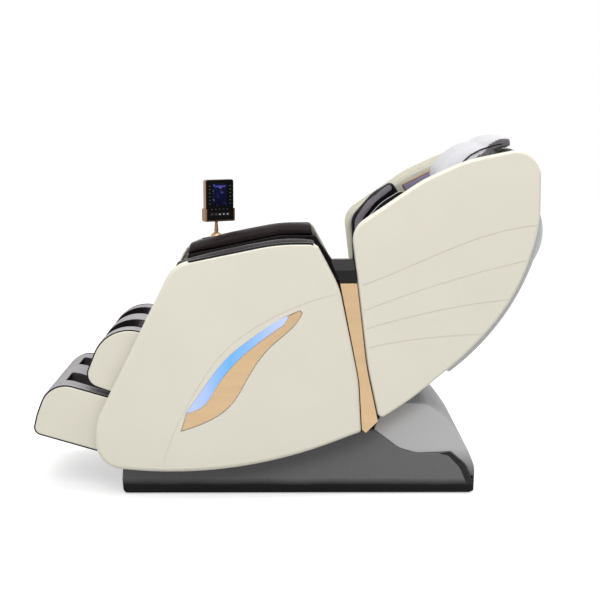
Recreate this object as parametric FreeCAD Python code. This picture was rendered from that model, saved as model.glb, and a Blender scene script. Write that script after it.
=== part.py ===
# Massage chair: rocking seat with long cream arm panels, winged backrest, two-part leg rest
# and a hand control on the sitter's right arm. Millimetres, +Z up, the chair faces -X,
# the sitter's left side is at -Y. Z = 0 is the floor.
import FreeCAD, Part
import math
import os

os.makedirs("parts", exist_ok=True)
V = FreeCAD.Vector

# Widths, measured from the middle plane outwards
ARM_OUT = 380.0
ARM_DEPTH = 50.0
BASE_HALF = 290.0
LEG_HALF = 300.0
SHELL_OUT = ARM_OUT - 15
SHELL_DEPTH = 35.0
PILLAR_OUT = ARM_OUT - 12
CUSHION_HALF = 250.0
LINER_IN = CUSHION_HALF + 5
GAP = 0.3

# Walls
WALL = 5.0
PANEL_WALL = 5.0
TRIM_RECESS = 5.0
LENS_THICK = 4.0

# Joint axes in the X, Z plane
BACK_PIVOT = (288.0, 281.0)
TILT_PIVOT = (250.0, 230.0)
KNEE = (-385.0, 480.0)
PIN_R = 9.0
PIN_CLEAR = 0.05
BACK_CORNER_R = 16.0

# Directions: the backrest leans back, the leg rest hangs forward
BACK_ANGLE = 59.0
LEG_ANGLE = 70.0
T = V(math.cos(math.radians(BACK_ANGLE)), 0, math.sin(math.radians(BACK_ANGLE)))
S = V(T.z, 0, -T.x)
A = V(-math.cos(math.radians(LEG_ANGLE)), 0, -math.sin(math.radians(LEG_ANGLE)))
B = V(A.z, 0, -A.x)

# Base
FOOT_H = 4.0
SHROUD_WALL = 6.0
RAIL_Y = 225.0
RAIL_HALF = 15.0
RAIL_BOTTOM = 30.0
RAIL_TOP = 66.0
RAIL_FRONT = -440.0
RAIL_BACK = 440.0
WHEEL_R = 28.0
WHEEL_X = 540.0
WHEEL_Z = 32.0
WHEEL_Y = 236.0
WHEEL_HALF = 11.0
AXLE_R = 5.0

# Seat
SEAT_FRONT = -328.0
SEAT_BACK = 226.0
FRAME_Z = 300.0
FRAME_TOP = 335.0
FRAME_Y = 280.0
FRAME_TUBE = 24.0
SEAT_UNDER = FRAME_TOP + GAP
SEAT_TOP_FRONT = 520.0
SEAT_TOP_BACK = 420.0
SEAT_CROWN = 22.0

# Arms
ARM_TOP = 816.0
ARM_SLOPE = 0.2095
PAD_FRONT = -366.0
PAD_BACK = 82.0
PAD_THICK = 34.0
PAD_CROWN = 14.0
PAD_OUT = ARM_OUT - 12
LINER_LOW_FRONT = -326.0
LINER_FRONT = -360.0
LINER_TOP_BACK = 196.0
BAY_CORNERS = [(-250, 560, 30), (-230, 690, 30), (60, 740, 30), (60, 600, 30)]

# Backrest in its own directions: t up the back, s towards the rear
BACK_T0 = 505.0
BACK_T1 = 1242.0
CUSHION_S = 0.0
CUSHION_THICK = 50.0
CUSHION_CROWN = 20.0
RAILS_S = 112.0
RAIL_TUBE = 9.0
MASSAGE_RAIL_Y = 150.0
RAIL_T0 = 541.0
RAIL_T1 = 1180.0
ROLLER_R = 18.0
ROLLER_S = 80.0
ROLLER_REACH = 65.0
SWING_S = 104.0
COVER_CROWN = 31.0
COVER_WALL = 4.0
CARRIAGE_T = 640.0

# Leg rest in its own directions: a down the leg, b towards the front, from the knee pin
CALF_END = 198.0
CALF_RIM = 213.0
CALF_KNEE_RIM = 206.0
CALF_FLOOR = 82.0
CALF_SHELL_B = 68.0
FOOT_START = 212.0
FOOT_BACK = 38.0
FOOT_RIM = 320.0
FOOT_SHELL_A = 370.0
FOOT_ROUND = (FOOT_SHELL_A - FOOT_START) / 2
FOOT_SOLE = FOOT_SHELL_A - 8
FOOT_SHELL_B = 80.0
SOLE_ROLLER_A = FOOT_SHELL_A + 5
SOLE_ROLLER_B = 200.0
SOLE_ROLLER_R = 16.0
SOLE_SHAFT_R = 4.0
PANEL_THICK = 15.0
LEG_PAD_HALF = LEG_HALF - PANEL_THICK - GAP
WELL_Y = 142.0
WELL_HALF = 72.0
FOOT_WELL_HALF = 62.0
FOOT_FRONT_WALL = 50.0
ROD_R = 8.0
ROD_Y = 60.0
ROD_B = 52.0
LUG_IN = 228.0
LUG_OUT = 242.0

# Wings and pillow
WING_IN = 262.0
POD_IN = 232.0
PILLOW_HALF = 158.0

# Hand control on the sitter's right arm
STEM_X = -262.0
REMOTE_X = -253.0
REMOTE_Y = ARM_OUT - 45
REMOTE_W = 108.0
REMOTE_H = 142.0
REMOTE_D = 24.0
REMOTE_BOTTOM = 829.0
REMOTE_TURN = 28.0
REMOTE_SEAT = 752.0
DOME_R = 22.0
SCREEN_EDGE = 6.0
SCREEN_Z0 = 38.0
KEY_EDGE = 16.0
KEY_Z0 = 14.0
KEY_Z1 = 26.0


def at(x, z, y=0.0):
    return V(x, y, z)


def leg(a, b, y=0.0):
    """point of the leg rest: a down the leg from the knee pin, b towards the front"""
    return V(KNEE[0], y, KNEE[1]) + A * a + B * b


def back(t, s, y=0.0):
    """point of the backrest: t up along it, s towards the rear, both from the origin"""
    return V(0, y, 0) + T * t + S * s


def rounded_wire(corners, place, y):
    """closed outline through corners (u, v, radius); place maps u, v, y to space"""
    points = [place(u, v, y) for u, v, r in corners]
    count = len(corners)
    starts = []
    ends = []
    middles = []
    for i in range(count):
        here = points[i]
        before = points[i - 1].sub(here)
        after = points[(i + 1) % count].sub(here)
        before.normalize()
        after.normalize()
        half = before.getAngle(after) / 2
        radius = corners[i][2]
        reach = radius / math.tan(half) if radius > 0 else 0.0
        starts.append(here + before * reach)
        ends.append(here + after * reach)
        bisector = before + after
        bisector.normalize()
        middles.append(here + bisector * (radius / math.sin(half) - radius))
    edges = []
    for i in range(count):
        if corners[i][2] > 0:
            edges.append(Part.Arc(starts[i], middles[i], ends[i]).toShape())
        target = starts[(i + 1) % count]
        if ends[i].distanceToPoint(target) > 1e-4:
            edges.append(Part.LineSegment(ends[i], target).toShape())
    return Part.Wire(Part.__sortEdges__(edges))


def plate(corners, y0, y1, place=at):
    """outline made solid between two widths"""
    face = Part.Face(rounded_wire(corners, place, y0))
    return face.extrude(V(0, y1 - y0, 0))


def inset_plate(corners, inset, y0, y1, place=at):
    """the same outline drawn in by inset"""
    wire = rounded_wire(corners, place, y0)
    inner = wire.makeOffset2D(-inset)
    if Part.Face(inner).Area > Part.Face(wire).Area:
        inner = wire.makeOffset2D(inset)
    return Part.Face(inner).extrude(V(0, y1 - y0, 0))


def curve_face(stretches, y, place=at):
    """face inside a closed run of stretches; two points make a line, more make a curve"""
    edges = []
    for stretch in stretches:
        points = [place(u, v, y) for u, v in stretch]
        if len(points) == 2:
            edges.append(Part.LineSegment(points[0], points[1]).toShape())
        else:
            spline = Part.BSplineCurve()
            spline.interpolate(points)
            edges.append(spline.toShape())
    return Part.Face(Part.Wire(edges))


def box(x0, x1, y0, y1, z0, z1):
    return Part.makeBox(x1 - x0, y1 - y0, z1 - z0, V(x0, y0, z0))


def slab(place, u0, u1, v0, v1, y0, y1):
    """box along a unit's own directions"""
    corners = [(u0, v0, 0), (u1, v0, 0), (u1, v1, 0), (u0, v1, 0)]
    return plate(corners, y0, y1, place)


def rod_y(x, z, y0, y1, radius):
    return Part.makeCylinder(radius, y1 - y0, V(x, y0, z), V(0, 1, 0))


def rod(start, end, radius):
    line = end.sub(start)
    return Part.makeCylinder(radius, line.Length, start, line)


def mirror(shape):
    return shape.mirror(V(0, 0, 0), V(0, 1, 0))


def pair(shape):
    """a left piece and its mirror image as two solids of one sub-part"""
    return Part.makeCompound([shape, mirror(shape)])


def join(shapes):
    whole = shapes[0].multiFuse(shapes[1:])
    return whole.removeSplitter()


def round_rim(solid, y, radius):
    """round every edge that lies in the plane at width y"""
    rim = []
    for edge in solid.Edges:
        box_y = edge.BoundBox
        if abs(box_y.YMin - y) < 1e-3 and abs(box_y.YMax - y) < 1e-3:
            rim.append(edge)
    return solid.makeFillet(radius, rim)


def crease(points, half_width, y, depth):
    """shallow groove along a curve, cut from the face at width y"""
    upper = [(x, z + half_width) for x, z in points]
    lower = [(x, z - half_width) for x, z in reversed(points)]
    face = curve_face([upper, [upper[-1], lower[0]], lower, [lower[-1], upper[0]]], y - 1)
    return face.extrude(V(0, 1 + depth, 0))


def save(name, shape):
    shape.exportStep("parts/" + name + ".step")


def save_sides(name, left):
    save(name + "_left", left)
    save(name + "_right", mirror(left))


# Outlines, corner by corner as (X, Z, radius)
ARM_OUTLINE = [
    (-610, 112, 88), (-608, 252, 140), (-360, 750, 100), (-40, ARM_TOP, 600), (78, ARM_TOP, 34),
    (152, 679, 250), (212, 385, 480), (221, 222, 10), (-178, 70, 1400),
]
SHELL_OUTLINE = [
    (277, 256, BACK_CORNER_R), (240, 427, 900), (189, 857, 78), (406, 1005, 400),
    (536, 1065, 400), (768, 1114, 80), (770, 858, 440), (717, 693, 560), (646, 574, 700),
    (544, 461, 1000), (380, 325, 600),
]
PILLAR_OUTLINE = [
    (154, 688, 3), (206.5, 688, 3), (237, 427, 880), (274, 254, 2), (236, 217, 2),
    (223.5, 228, 2), (214, 385, 480),
]
CORNER_BLOCK_OUTLINE = [
    (126, 757, 5), (198, 757, 5), (206, 688 + GAP, 2), (156, 688 + GAP, 2), (152.5, 697, 4),
]
SHROUD_OUTLINE = [
    (-532, 112, 18), (-537, 48, 30), (-533, FOOT_H, 14), (582, FOOT_H, 12), (584, 36, 20),
    (560, 96, 60), (512, 137.5, 6), (402, 133, 60), (345, 151, 60), (266, 211, 3), (-300, 160, 300),
]
COVER_OUTLINE = [
    (266, 211.3, 2), (345, 151.3, 60), (402, 133.4, 60), (512.2, 138, 6.4), (560.5, 96.3, 60),
    (576.3, 58, 0.5), (588, 58, 1), (588, 90, 80), (560, 160, 300), (496, 250, 200),
    (432, 293, 60), (376, 297, 30), (300, 293, 20),
]
COVER_ROOM = [
    (272, 216, 2), (345, 158, 60), (402, 139, 60), (510, 144, 4), (534, 150, 10), (490, 240, 60),
    (428, 287, 50), (376, 291, 30), (305, 287, 16),
]

CALF_SHELL_OUTLINE = [
    (CALF_END, CALF_SHELL_B, 4), (CALF_END, 16, 18), (126, -40, 40), (-32, -40, 36),
    (-32, 30, 26), (-14, CALF_SHELL_B, 8),
]
CALF_PAD_OUTLINE = [
    (CALF_END - 2, CALF_SHELL_B + GAP, 4), (CALF_END - 1, CALF_RIM + 4, 42),
    (-14, CALF_KNEE_RIM + 4, 118), (-14, CALF_SHELL_B + GAP, 4),
]
CALF_PANEL_OUTLINE = [
    (CALF_END, 10, 18), (CALF_END, CALF_RIM, 42), (-14, CALF_KNEE_RIM, 118), (-14, 44, 10),
    (-34, 20, 14), (-34, -40, 36), (126, -42, 40),
]
FOOT_OUTLINE = [
    (FOOT_START, FOOT_BACK, 16), (FOOT_START + 18, FOOT_RIM - 5, FOOT_ROUND),
    (FOOT_SHELL_A - 25, FOOT_RIM - 3, 260), (FOOT_SHELL_A + 36, FOOT_RIM - 10, 24),
    (FOOT_SHELL_A + 18, FOOT_BACK, 16),
]
FOOT_BLOCK_OUTLINE = [
    (FOOT_START + 3, FOOT_BACK + 3, 13), (FOOT_START + 16, FOOT_RIM - 1, FOOT_ROUND),
    (FOOT_SHELL_A - 25, FOOT_RIM + 1, 260), (FOOT_SHELL_A + 34, FOOT_RIM - 7, 24),
    (FOOT_SHELL_A + 15, FOOT_BACK + 3, 13),
]
POD_OUTLINE = [
    (222, 612, 24), (212, 846, 60), (284, 929, 150), (352, 971, 18), (394, 904, 40), (306, 640, 60),
]
SPEAKER_OUTLINE = [(388, 958, 5), (518, 1022, 5), (530, 988, 5), (408, 926, 5)]


def base_shroud():
    outer = plate(SHROUD_OUTLINE, -BASE_HALF, BASE_HALF)
    outer = round_rim(outer, -BASE_HALF, 5)
    outer = round_rim(outer, BASE_HALF, 5)
    inner_y = BASE_HALF - SHROUD_WALL
    inner = inset_plate(SHROUD_OUTLINE, SHROUD_WALL, -inner_y, inner_y)
    open_top = box(-528, 542, -inner_y, inner_y, 100, 400)
    shell = outer.cut(inner).cut(open_top)
    for side in (-1, 1):
        slot_y0 = side * WHEEL_Y - WHEEL_HALF - 4
        shell = shell.cut(box(WHEEL_X - WHEEL_R - 5, WHEEL_X + WHEEL_R + 5, slot_y0,
                              slot_y0 + 2 * WHEEL_HALF + 8, 0, WHEEL_Z + 10))
    inlet_hole = box(560, 600, -44.5 - GAP, 44.5 + GAP, 43 - GAP, 75 + GAP)
    return shell.cut(inlet_hole)


def base_rear_cover():
    outer = plate(COVER_OUTLINE, -BASE_HALF, BASE_HALF)
    outer = round_rim(outer, -BASE_HALF, 4)
    outer = round_rim(outer, BASE_HALF, 4)
    inner_y = BASE_HALF - WALL
    inner = plate(COVER_ROOM, -inner_y, inner_y)
    open_bottom = box(240, 500, -inner_y, inner_y, 120, 160)
    open_front = box(240, 338, -inner_y, inner_y, 120, 400)
    arm_notch = box(330, 384, -26, 26, 240, 400)
    inlet_notch = box(560, 600, -60, 60, 40, 92)
    shell = outer.cut(inner).cut(open_bottom).cut(open_front)
    return shell.cut(arm_notch).cut(inlet_notch)


def base_frame():
    pieces = []
    for side in (-1, 1):
        y = side * RAIL_Y
        pieces.append(box(RAIL_FRONT, RAIL_BACK, y - RAIL_HALF, y + RAIL_HALF, RAIL_BOTTOM, RAIL_TOP))
        bracket_y0 = min(side * (RAIL_Y - RAIL_HALF), side * (RAIL_Y - RAIL_HALF + 8))
        pieces.append(box(RAIL_BACK - 20, WHEEL_X + 10, bracket_y0, bracket_y0 + 8, WHEEL_Z - 10, RAIL_TOP))
        axle_y0 = min(side * (RAIL_Y - RAIL_HALF), side * (WHEEL_Y + WHEEL_HALF + 3))
        axle_length = WHEEL_Y + WHEEL_HALF + 3 - RAIL_Y + RAIL_HALF
        pieces.append(rod_y(WHEEL_X, WHEEL_Z, axle_y0, axle_y0 + axle_length, AXLE_R))
    for x in (-430, -60, 330):
        pieces.append(box(x, x + 40, -RAIL_Y, RAIL_Y, RAIL_BOTTOM, RAIL_BOTTOM + 30))
    for x in (-400, 380):
        for y in (-RAIL_Y, RAIL_Y):
            post = box(x - 15, x + 15, y - 12, y + 12, FOOT_H + SHROUD_WALL, RAIL_BOTTOM)
            pieces.append(post)
    return join(pieces)


def feet():
    pads = []
    for x in (-480, 465):
        for y in (-240, 240):
            pads.append(Part.makeCylinder(24, FOOT_H, V(x, y, 0)))
    return Part.makeCompound(pads)


def transport_wheel():
    y = -WHEEL_Y
    wheel = rod_y(WHEEL_X, WHEEL_Z, y - WHEEL_HALF, y + WHEEL_HALF, WHEEL_R)
    bore = rod_y(WHEEL_X, WHEEL_Z, y - 30, y + 30, AXLE_R + PIN_CLEAR)
    return wheel.cut(bore)


def power_inlet():
    plate_x = 556.0
    block = box(plate_x, plate_x + 22, -44.5, 44.5, 43, 75)
    socket = box(plate_x + 4, plate_x + 40, -38, -8, 47, 71)
    switch_bay = box(plate_x + 8, plate_x + 40, 8, 38, 47, 71)
    pins = []
    for y in (-30, -23, -16):
        pins.append(box(plate_x + 3, plate_x + 11, y - 1, y + 1, 54, 64))
    axle = rod_y(plate_x + 15, 59, 7, 39, 1.5)
    return join([block.cut(socket).cut(switch_bay)] + pins + [axle])


def power_switch():
    x = 571.0
    outline = [(x - 5, 50, 1), (x + 7, 50, 1), (x + 3.5, 59, 3), (x + 7, 68, 1), (x - 5, 68, 1)]
    rocker = plate(outline, 9, 37)
    return rocker.cut(rod_y(x, 59, 5, 41, 1.55))


def glide_carriage():
    pieces = []
    for side in (-1, 1):
        y = side * RAIL_Y
        beam = box(-210, 300, y - 12, y + 12, RAIL_TOP + GAP, RAIL_TOP + 34)
        upright_corners = [
            (205, RAIL_TOP + 30, 4), (285, RAIL_TOP + 30, 4),
            (TILT_PIVOT[0] + 18, TILT_PIVOT[1] + 18, 18), (TILT_PIVOT[0] - 18, TILT_PIVOT[1] + 18, 18),
        ]
        upright_y0 = min(side * (RAIL_Y - 12), side * RAIL_Y)
        upright = plate(upright_corners, upright_y0, upright_y0 + 12)
        pieces.append(beam)
        pieces.append(upright)
        pieces.append(rod_y(TILT_PIVOT[0], TILT_PIVOT[1], y - 20, y + 20, PIN_R))
    for x in (-200, 200):
        pieces.append(box(x, x + 50, -RAIL_Y, RAIL_Y, RAIL_TOP + 6, RAIL_TOP + 30))
    return join(pieces)


def tilt_actuator():
    """screw jack that lifts the seat's front; returns its body and its rod"""
    x = -175.0
    foot = box(x - 28, x + 28, -30, 30, RAIL_TOP + 30, RAIL_TOP + 44)
    tube = Part.makeCylinder(19, 120, V(x, 0, RAIL_TOP + 44))
    motor = Part.makeCylinder(24, 84, V(x + 50, 0, RAIL_TOP + 52))
    gearbox = box(x - 22, x + 74, -24, 24, RAIL_TOP + 44, RAIL_TOP + 66)
    body = join([foot, tube, motor, gearbox])
    bore = Part.makeCylinder(10, 100, V(x, 0, RAIL_TOP + 70))
    body = body.cut(bore)
    screw = Part.makeCylinder(9.9, 120, V(x, 0, RAIL_TOP + 72))
    head = box(x - 14, x + 14, -7, 7, RAIL_TOP + 170, RAIL_TOP + 198)
    return body, join([screw, head])


def eye_head(centre, radius, bore):
    """flat eye at the end of an actuator"""
    head = Part.makeCylinder(radius, 12, centre - V(0, 6, 0), V(0, 1, 0))
    return head.cut(Part.makeCylinder(bore, 12, centre - V(0, 6, 0), V(0, 1, 0)))


def line_actuator(eye, away, length, tube_share, shaft_start):
    """electric cylinder between a far eye and a driven eye; away points from the driven eye
    to the far one. Returns the body with its motor, and the rod"""
    far = eye + away * length
    tube_end = far - away * (length * tube_share)
    tube_start = far - away * TUBE_START
    side = V(0, 42, 0)
    tube = rod(tube_start, tube_end, 16)
    motor = rod(tube_start + side, tube_start - away * 84 + side, 20)
    block = rod(tube_start + side * 0.5, tube_start - away * 24 + side * 0.5, 30)
    neck = rod(far - away * 11, tube_start - away, 6)
    body = join([tube, motor, block, neck, eye_head(far, 13, EYE_BORE + PIN_CLEAR)])
    body = body.cut(rod(tube_start - away * 28, tube_end - away * 2, 9))
    shaft = rod(far - away * shaft_start, eye + away * 24, 8.9)
    shaft_neck = rod(eye + away * 30, eye + away * 11, 5.5)
    return body, join([shaft, shaft_neck, eye_head(eye, 14, EYE_BORE)])


def clevis(eye, radius, carrier, pinned):
    """ears that straddle an eye and reach to a carrier point, with their pin if pinned"""
    pieces = []
    line = V(carrier[0] - eye.x, 0, carrier[1] - eye.z)
    length = line.Length
    line.normalize()
    across = V(line.z, 0, -line.x) * (radius * 0.85)
    for side in (-1, 1):
        y0 = min(side * EAR_IN, side * EAR_OUT)
        foot = eye + V(0, y0, 0)
        corners = [foot + across, foot - across, foot - across + line * length,
                   foot + across + line * length]
        web = Part.Face(Part.makePolygon(corners + [corners[0]])).extrude(V(0, EAR_OUT - EAR_IN, 0))
        pieces.append(Part.makeCylinder(radius, EAR_OUT - EAR_IN, foot, V(0, 1, 0)))
        pieces.append(web)
    if pinned:
        pieces.append(Part.makeCylinder(EYE_BORE, 2 * EAR_OUT, eye - V(0, EAR_OUT, 0), V(0, 1, 0)))
    return pieces


# Actuators' places: an eye at rest and the way its rod travels
RECLINE_EYE = V(262, 0, 205)
RECLINE_WAY = V(-0.88, 0, 0.475)
RECLINE_LENGTH = 205.0
LEG_ACTUATOR_Y = -110.0
LEG_EYE = V(KNEE[0] + 6, LEG_ACTUATOR_Y, KNEE[1] - 172)
LEG_WAY = V(-0.839, 0, 0.5445)
LEG_LENGTH = 330.0
TUBE_START = 34.0
EYE_BORE = 6.0
EAR_IN = 8.0
EAR_OUT = 14.0


def seat_frame():
    pieces = []
    for side in (-1, 1):
        y0 = min(side * FRAME_Y, side * (FRAME_Y - FRAME_TUBE))
        y1 = y0 + FRAME_TUBE
        pieces.append(box(SEAT_FRONT, 304, y0, y1, FRAME_Z, FRAME_TOP))
        lug_y0 = min(side * LUG_IN, side * LUG_OUT)
        knee_lug = [
            (KNEE[0] - 20, KNEE[1] + 20, 19), (KNEE[0] + 20, KNEE[1] + 20, 19),
            (SEAT_FRONT - 6, FRAME_TOP, 6), (SEAT_FRONT + 24, FRAME_TOP, 1),
            (SEAT_FRONT + 24, FRAME_Z, 2), (SEAT_FRONT - 34, FRAME_Z, 10),
        ]
        pieces.append(plate(knee_lug, lug_y0, lug_y0 + LUG_OUT - LUG_IN))
        pieces.append(rod_y(KNEE[0], KNEE[1], lug_y0 - 22, lug_y0 + 36, PIN_R))
        hinge_y0 = min(side * 256, side * 268)
        hinge_lug = [
            (240, FRAME_TOP, 3), (BACK_PIVOT[0] + 15, FRAME_TOP, 10),
            (BACK_PIVOT[0] + 15, BACK_PIVOT[1] - 15, 14), (BACK_PIVOT[0] - 15, BACK_PIVOT[1] - 15, 14),
        ]
        pieces.append(plate(hinge_lug, hinge_y0, hinge_y0 + 12))
        pin_y0 = min(side * 240, side * 262)
        pieces.append(rod_y(BACK_PIVOT[0], BACK_PIVOT[1], pin_y0, pin_y0 + 22, PIN_R))
        tilt_lug = [
            (TILT_PIVOT[0] - 17, FRAME_Z + 10, 2), (TILT_PIVOT[0] + 17, FRAME_Z + 10, 2),
            (TILT_PIVOT[0] + 17, TILT_PIVOT[1] - 17, 16), (TILT_PIVOT[0] - 17, TILT_PIVOT[1] - 17, 16),
        ]
        tilt_y0 = min(side * (RAIL_Y + 1), side * (RAIL_Y + 13))
        lug = plate(tilt_lug, tilt_y0, tilt_y0 + 12)
        bore = rod_y(TILT_PIVOT[0], TILT_PIVOT[1], tilt_y0 - 1, tilt_y0 + 13, PIN_R + PIN_CLEAR)
        pieces.append(lug.cut(bore))
    for x in (SEAT_FRONT, -190, -74, 40, 236):
        pieces.append(box(x, x + 28, -FRAME_Y, FRAME_Y, FRAME_Z, FRAME_TOP))
    for side in (-1, 1):
        y0 = min(side * 11, side * 19)
        pieces.append(box(-205, -145, y0, y0 + 8, 240, FRAME_Z + 10))
    recline_far = RECLINE_EYE + RECLINE_WAY * RECLINE_LENGTH
    pieces += clevis(recline_far, 14, (54, FRAME_Z + 8), True)
    leg_far = LEG_EYE - LEG_WAY * LEG_LENGTH
    pieces += clevis(leg_far, 14, (-60, FRAME_Z + 8), True)
    frame = join(pieces)
    for side in (-1, 1):
        bore = rod_y(TILT_PIVOT[0], TILT_PIVOT[1], side * RAIL_Y - 25, side * RAIL_Y + 25, PIN_R + PIN_CLEAR)
        frame = frame.cut(bore)
    return frame


def loft(wires):
    return Part.makeLoft(wires, True, False)


def lobed_section(place, u0, u1, v_base, v_top, lobes, lobe_height, side_bulge, y):
    """closed cushion section: flat base, bulged ends and a top of shallow arcs"""
    edges = []
    step = (u1 - u0) / lobes
    base_a = place(u0, v_base(u0), y)
    base_b = place(u1, v_base(u1), y)
    top_b = place(u1, v_top(u1), y)
    edges.append(Part.LineSegment(base_a, base_b).toShape())
    mid_b = place(u1 + side_bulge, (v_base(u1) + v_top(u1)) / 2, y)
    edges.append(Part.Arc(base_b, mid_b, top_b).toShape())
    previous = top_b
    for i in range(lobes):
        u_next = u1 - step * (i + 1)
        u_mid = u1 - step * (i + 0.5)
        following = place(u_next, v_top(u_next), y)
        middle = place(u_mid, v_top(u_mid) + lobe_height, y)
        edges.append(Part.Arc(previous, middle, following).toShape())
        previous = following
    mid_a = place(u0 - side_bulge, (v_base(u0) + v_top(u0)) / 2, y)
    edges.append(Part.Arc(previous, mid_a, base_a).toShape())
    return Part.Wire(edges)


def cushion(place, u0, u1, v_base, v_top, lobes, lobe_height, half_width, crown, pull):
    """stuffed pad across the chair: highest in the middle, drawn in towards its side seams"""
    wires = []
    for share in (-1.0, -0.94, -0.8, -0.5, 0.0, 0.5, 0.8, 0.94, 1.0):
        drop = crown * abs(share) ** 6
        shrink = pull * abs(share) ** 6

        def top(u, drop=drop):
            return v_top(u) + (drop if v_top(u) < v_base(u) else -drop)
        wires.append(lobed_section(place, u0 + shrink, u1 - shrink, v_base, top, lobes,
                                   lobe_height, 5.0, share * half_width))
    return loft(wires)


def seat_cushion():
    def top(u):
        share = (u - SEAT_FRONT) / (SEAT_BACK - SEAT_FRONT)
        return SEAT_TOP_FRONT + (SEAT_TOP_BACK - SEAT_TOP_FRONT) * share
    return cushion(at, SEAT_FRONT + 8, SEAT_BACK - 8, lambda u: SEAT_UNDER, top, 4, 12.0,
                   CUSHION_HALF - 2, SEAT_CROWN, 10.0)


LENS_TOP = [(-322, 284), (-261, 373), (-189, 462), (-110, 524), (-23, 581), (-6, 587)]
LENS_LOW = [(-19, 562), (-98, 506), (-182, 430), (-238, 353), (-258, 321), (-284, 296)]
SWOOSH_TOP = [(-318, 281), (-284, 293), (-256, 318), (-236, 351), (-180, 428), (-97, 503), (-17, 560)]
SWOOSH_LOW = [(36, 597), (16, 565), (-59, 496), (-131, 398), (-183, 313), (-210, 287), (-286, 246),
              (-339, 227)]
POCKET_TOP = [(-324, 286), (-262, 375), (-190, 464), (-111, 526), (-24, 583), (31, 607)]
POCKET_LOW = [(39, 599), (18, 563), (-57, 494), (-129, 396), (-181, 311), (-208, 285), (-285, 243),
              (-342, 224)]


def pocket(y0, y1):
    face = curve_face([POCKET_TOP, [POCKET_TOP[-1], POCKET_LOW[0]], POCKET_LOW,
                       [POCKET_LOW[-1], POCKET_TOP[0]]], y0)
    return face.extrude(V(0, y1 - y0, 0))


def light_lens():
    y = -ARM_OUT + TRIM_RECESS
    face = curve_face([LENS_TOP, [LENS_TOP[-1], LENS_LOW[0]], LENS_LOW, [LENS_LOW[-1], LENS_TOP[0]]], y)
    return face.extrude(V(0, LENS_THICK, 0))


def swoosh_trim():
    y = -ARM_OUT + TRIM_RECESS - 1
    tip = [(-3, 588), (30, 605)]
    face = curve_face([SWOOSH_TOP, [SWOOSH_TOP[-1], tip[0]], tip, [tip[1], SWOOSH_LOW[0]], SWOOSH_LOW,
                       [SWOOSH_LOW[-1], SWOOSH_TOP[0]]], y)
    return face.extrude(V(0, LENS_THICK + 1, 0))


ARM_CREASE = [(152, 657), (91, 642), (-78, 570), (-213, 467), (-309, 326), (-374, 192), (-400, 106)]


def arm_panel(pad_space):
    outer = plate(ARM_OUTLINE, -ARM_OUT, -ARM_OUT + ARM_DEPTH)
    outer = round_rim(outer, -ARM_OUT, 12)
    inner = inset_plate(ARM_OUTLINE, PANEL_WALL, -ARM_OUT + PANEL_WALL, -ARM_OUT + ARM_DEPTH + 1)
    seat_back = -ARM_OUT + TRIM_RECESS + LENS_THICK
    boss_face = curve_face([[(-370, 190), (-370, 300)], [(-370, 300), (-30, 640)], [(-30, 640), (60, 640)],
                            [(60, 640), (60, 560)], [(60, 560), (-180, 250)], [(-180, 250), (-370, 190)]],
                           -ARM_OUT + PANEL_WALL - 1)
    boss = boss_face.extrude(V(0, TRIM_RECESS + LENS_THICK + 5 - PANEL_WALL + 1, 0))
    panel = outer.cut(inner).fuse(boss)
    panel = panel.cut(pocket(-ARM_OUT - 1, seat_back))
    panel = panel.cut(crease(ARM_CREASE, 1.6, -ARM_OUT, 1.6))
    return panel.cut(pad_space)


def arm_top(x):
    """height of the arm panel's upper edge"""
    if x < -40:
        return ARM_TOP + (x + 40) * ARM_SLOPE
    return ARM_TOP


def armrest_pad():
    """long soft pad along the top of the arm, crowned across its width"""
    wires = []
    for share, lift in ((0.0, -9.0), (0.12, 0.0), (0.5, PAD_CROWN - 4), (0.88, -2.0), (1.0, -9.0)):
        y = -LINER_IN - (PAD_OUT - LINER_IN) * share
        pull = 8.0 if share in (0.0, 1.0) else 0.0
        front = PAD_FRONT + pull
        rear = PAD_BACK - pull
        bottom = [at(rear, arm_top(rear) - PAD_THICK, y), at(-40, arm_top(-40) - PAD_THICK, y),
                  at(front, arm_top(front) - PAD_THICK, y)]
        top_front = at(front + 16, arm_top(front + 16) - 12 + lift, y)
        top_mid = at(-40, arm_top(-40) - 8 + lift, y)
        top_rear = at(rear - 8, arm_top(rear) - 10 + lift, y)
        over = at(-190, arm_top(-190) - 4 + lift, y)
        rear_over = at(30, ARM_TOP - 6 + lift, y)
        edges = [
            Part.LineSegment(bottom[0], bottom[1]).toShape(),
            Part.LineSegment(bottom[1], bottom[2]).toShape(),
            Part.LineSegment(bottom[2], top_front).toShape(),
            Part.Arc(top_front, over, top_mid).toShape(),
            Part.Arc(top_mid, rear_over, top_rear).toShape(),
            Part.LineSegment(top_rear, bottom[0]).toShape(),
        ]
        wires.append(Part.Wire(edges))
    return loft(wires)


def pad_space():
    """room that the armrest pad takes out of the panel's upper wall"""
    corners = [(PAD_FRONT - 2, arm_top(PAD_FRONT) - PAD_THICK - GAP, 0),
               (-40, arm_top(-40) - PAD_THICK - GAP, 0),
               (PAD_BACK + 2, arm_top(0) - PAD_THICK - GAP, 0), (PAD_BACK + 2, 840, 0), (PAD_FRONT - 2, 840, 0)]
    return plate(corners, -PAD_OUT - GAP, -LINER_IN + 5)


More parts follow.
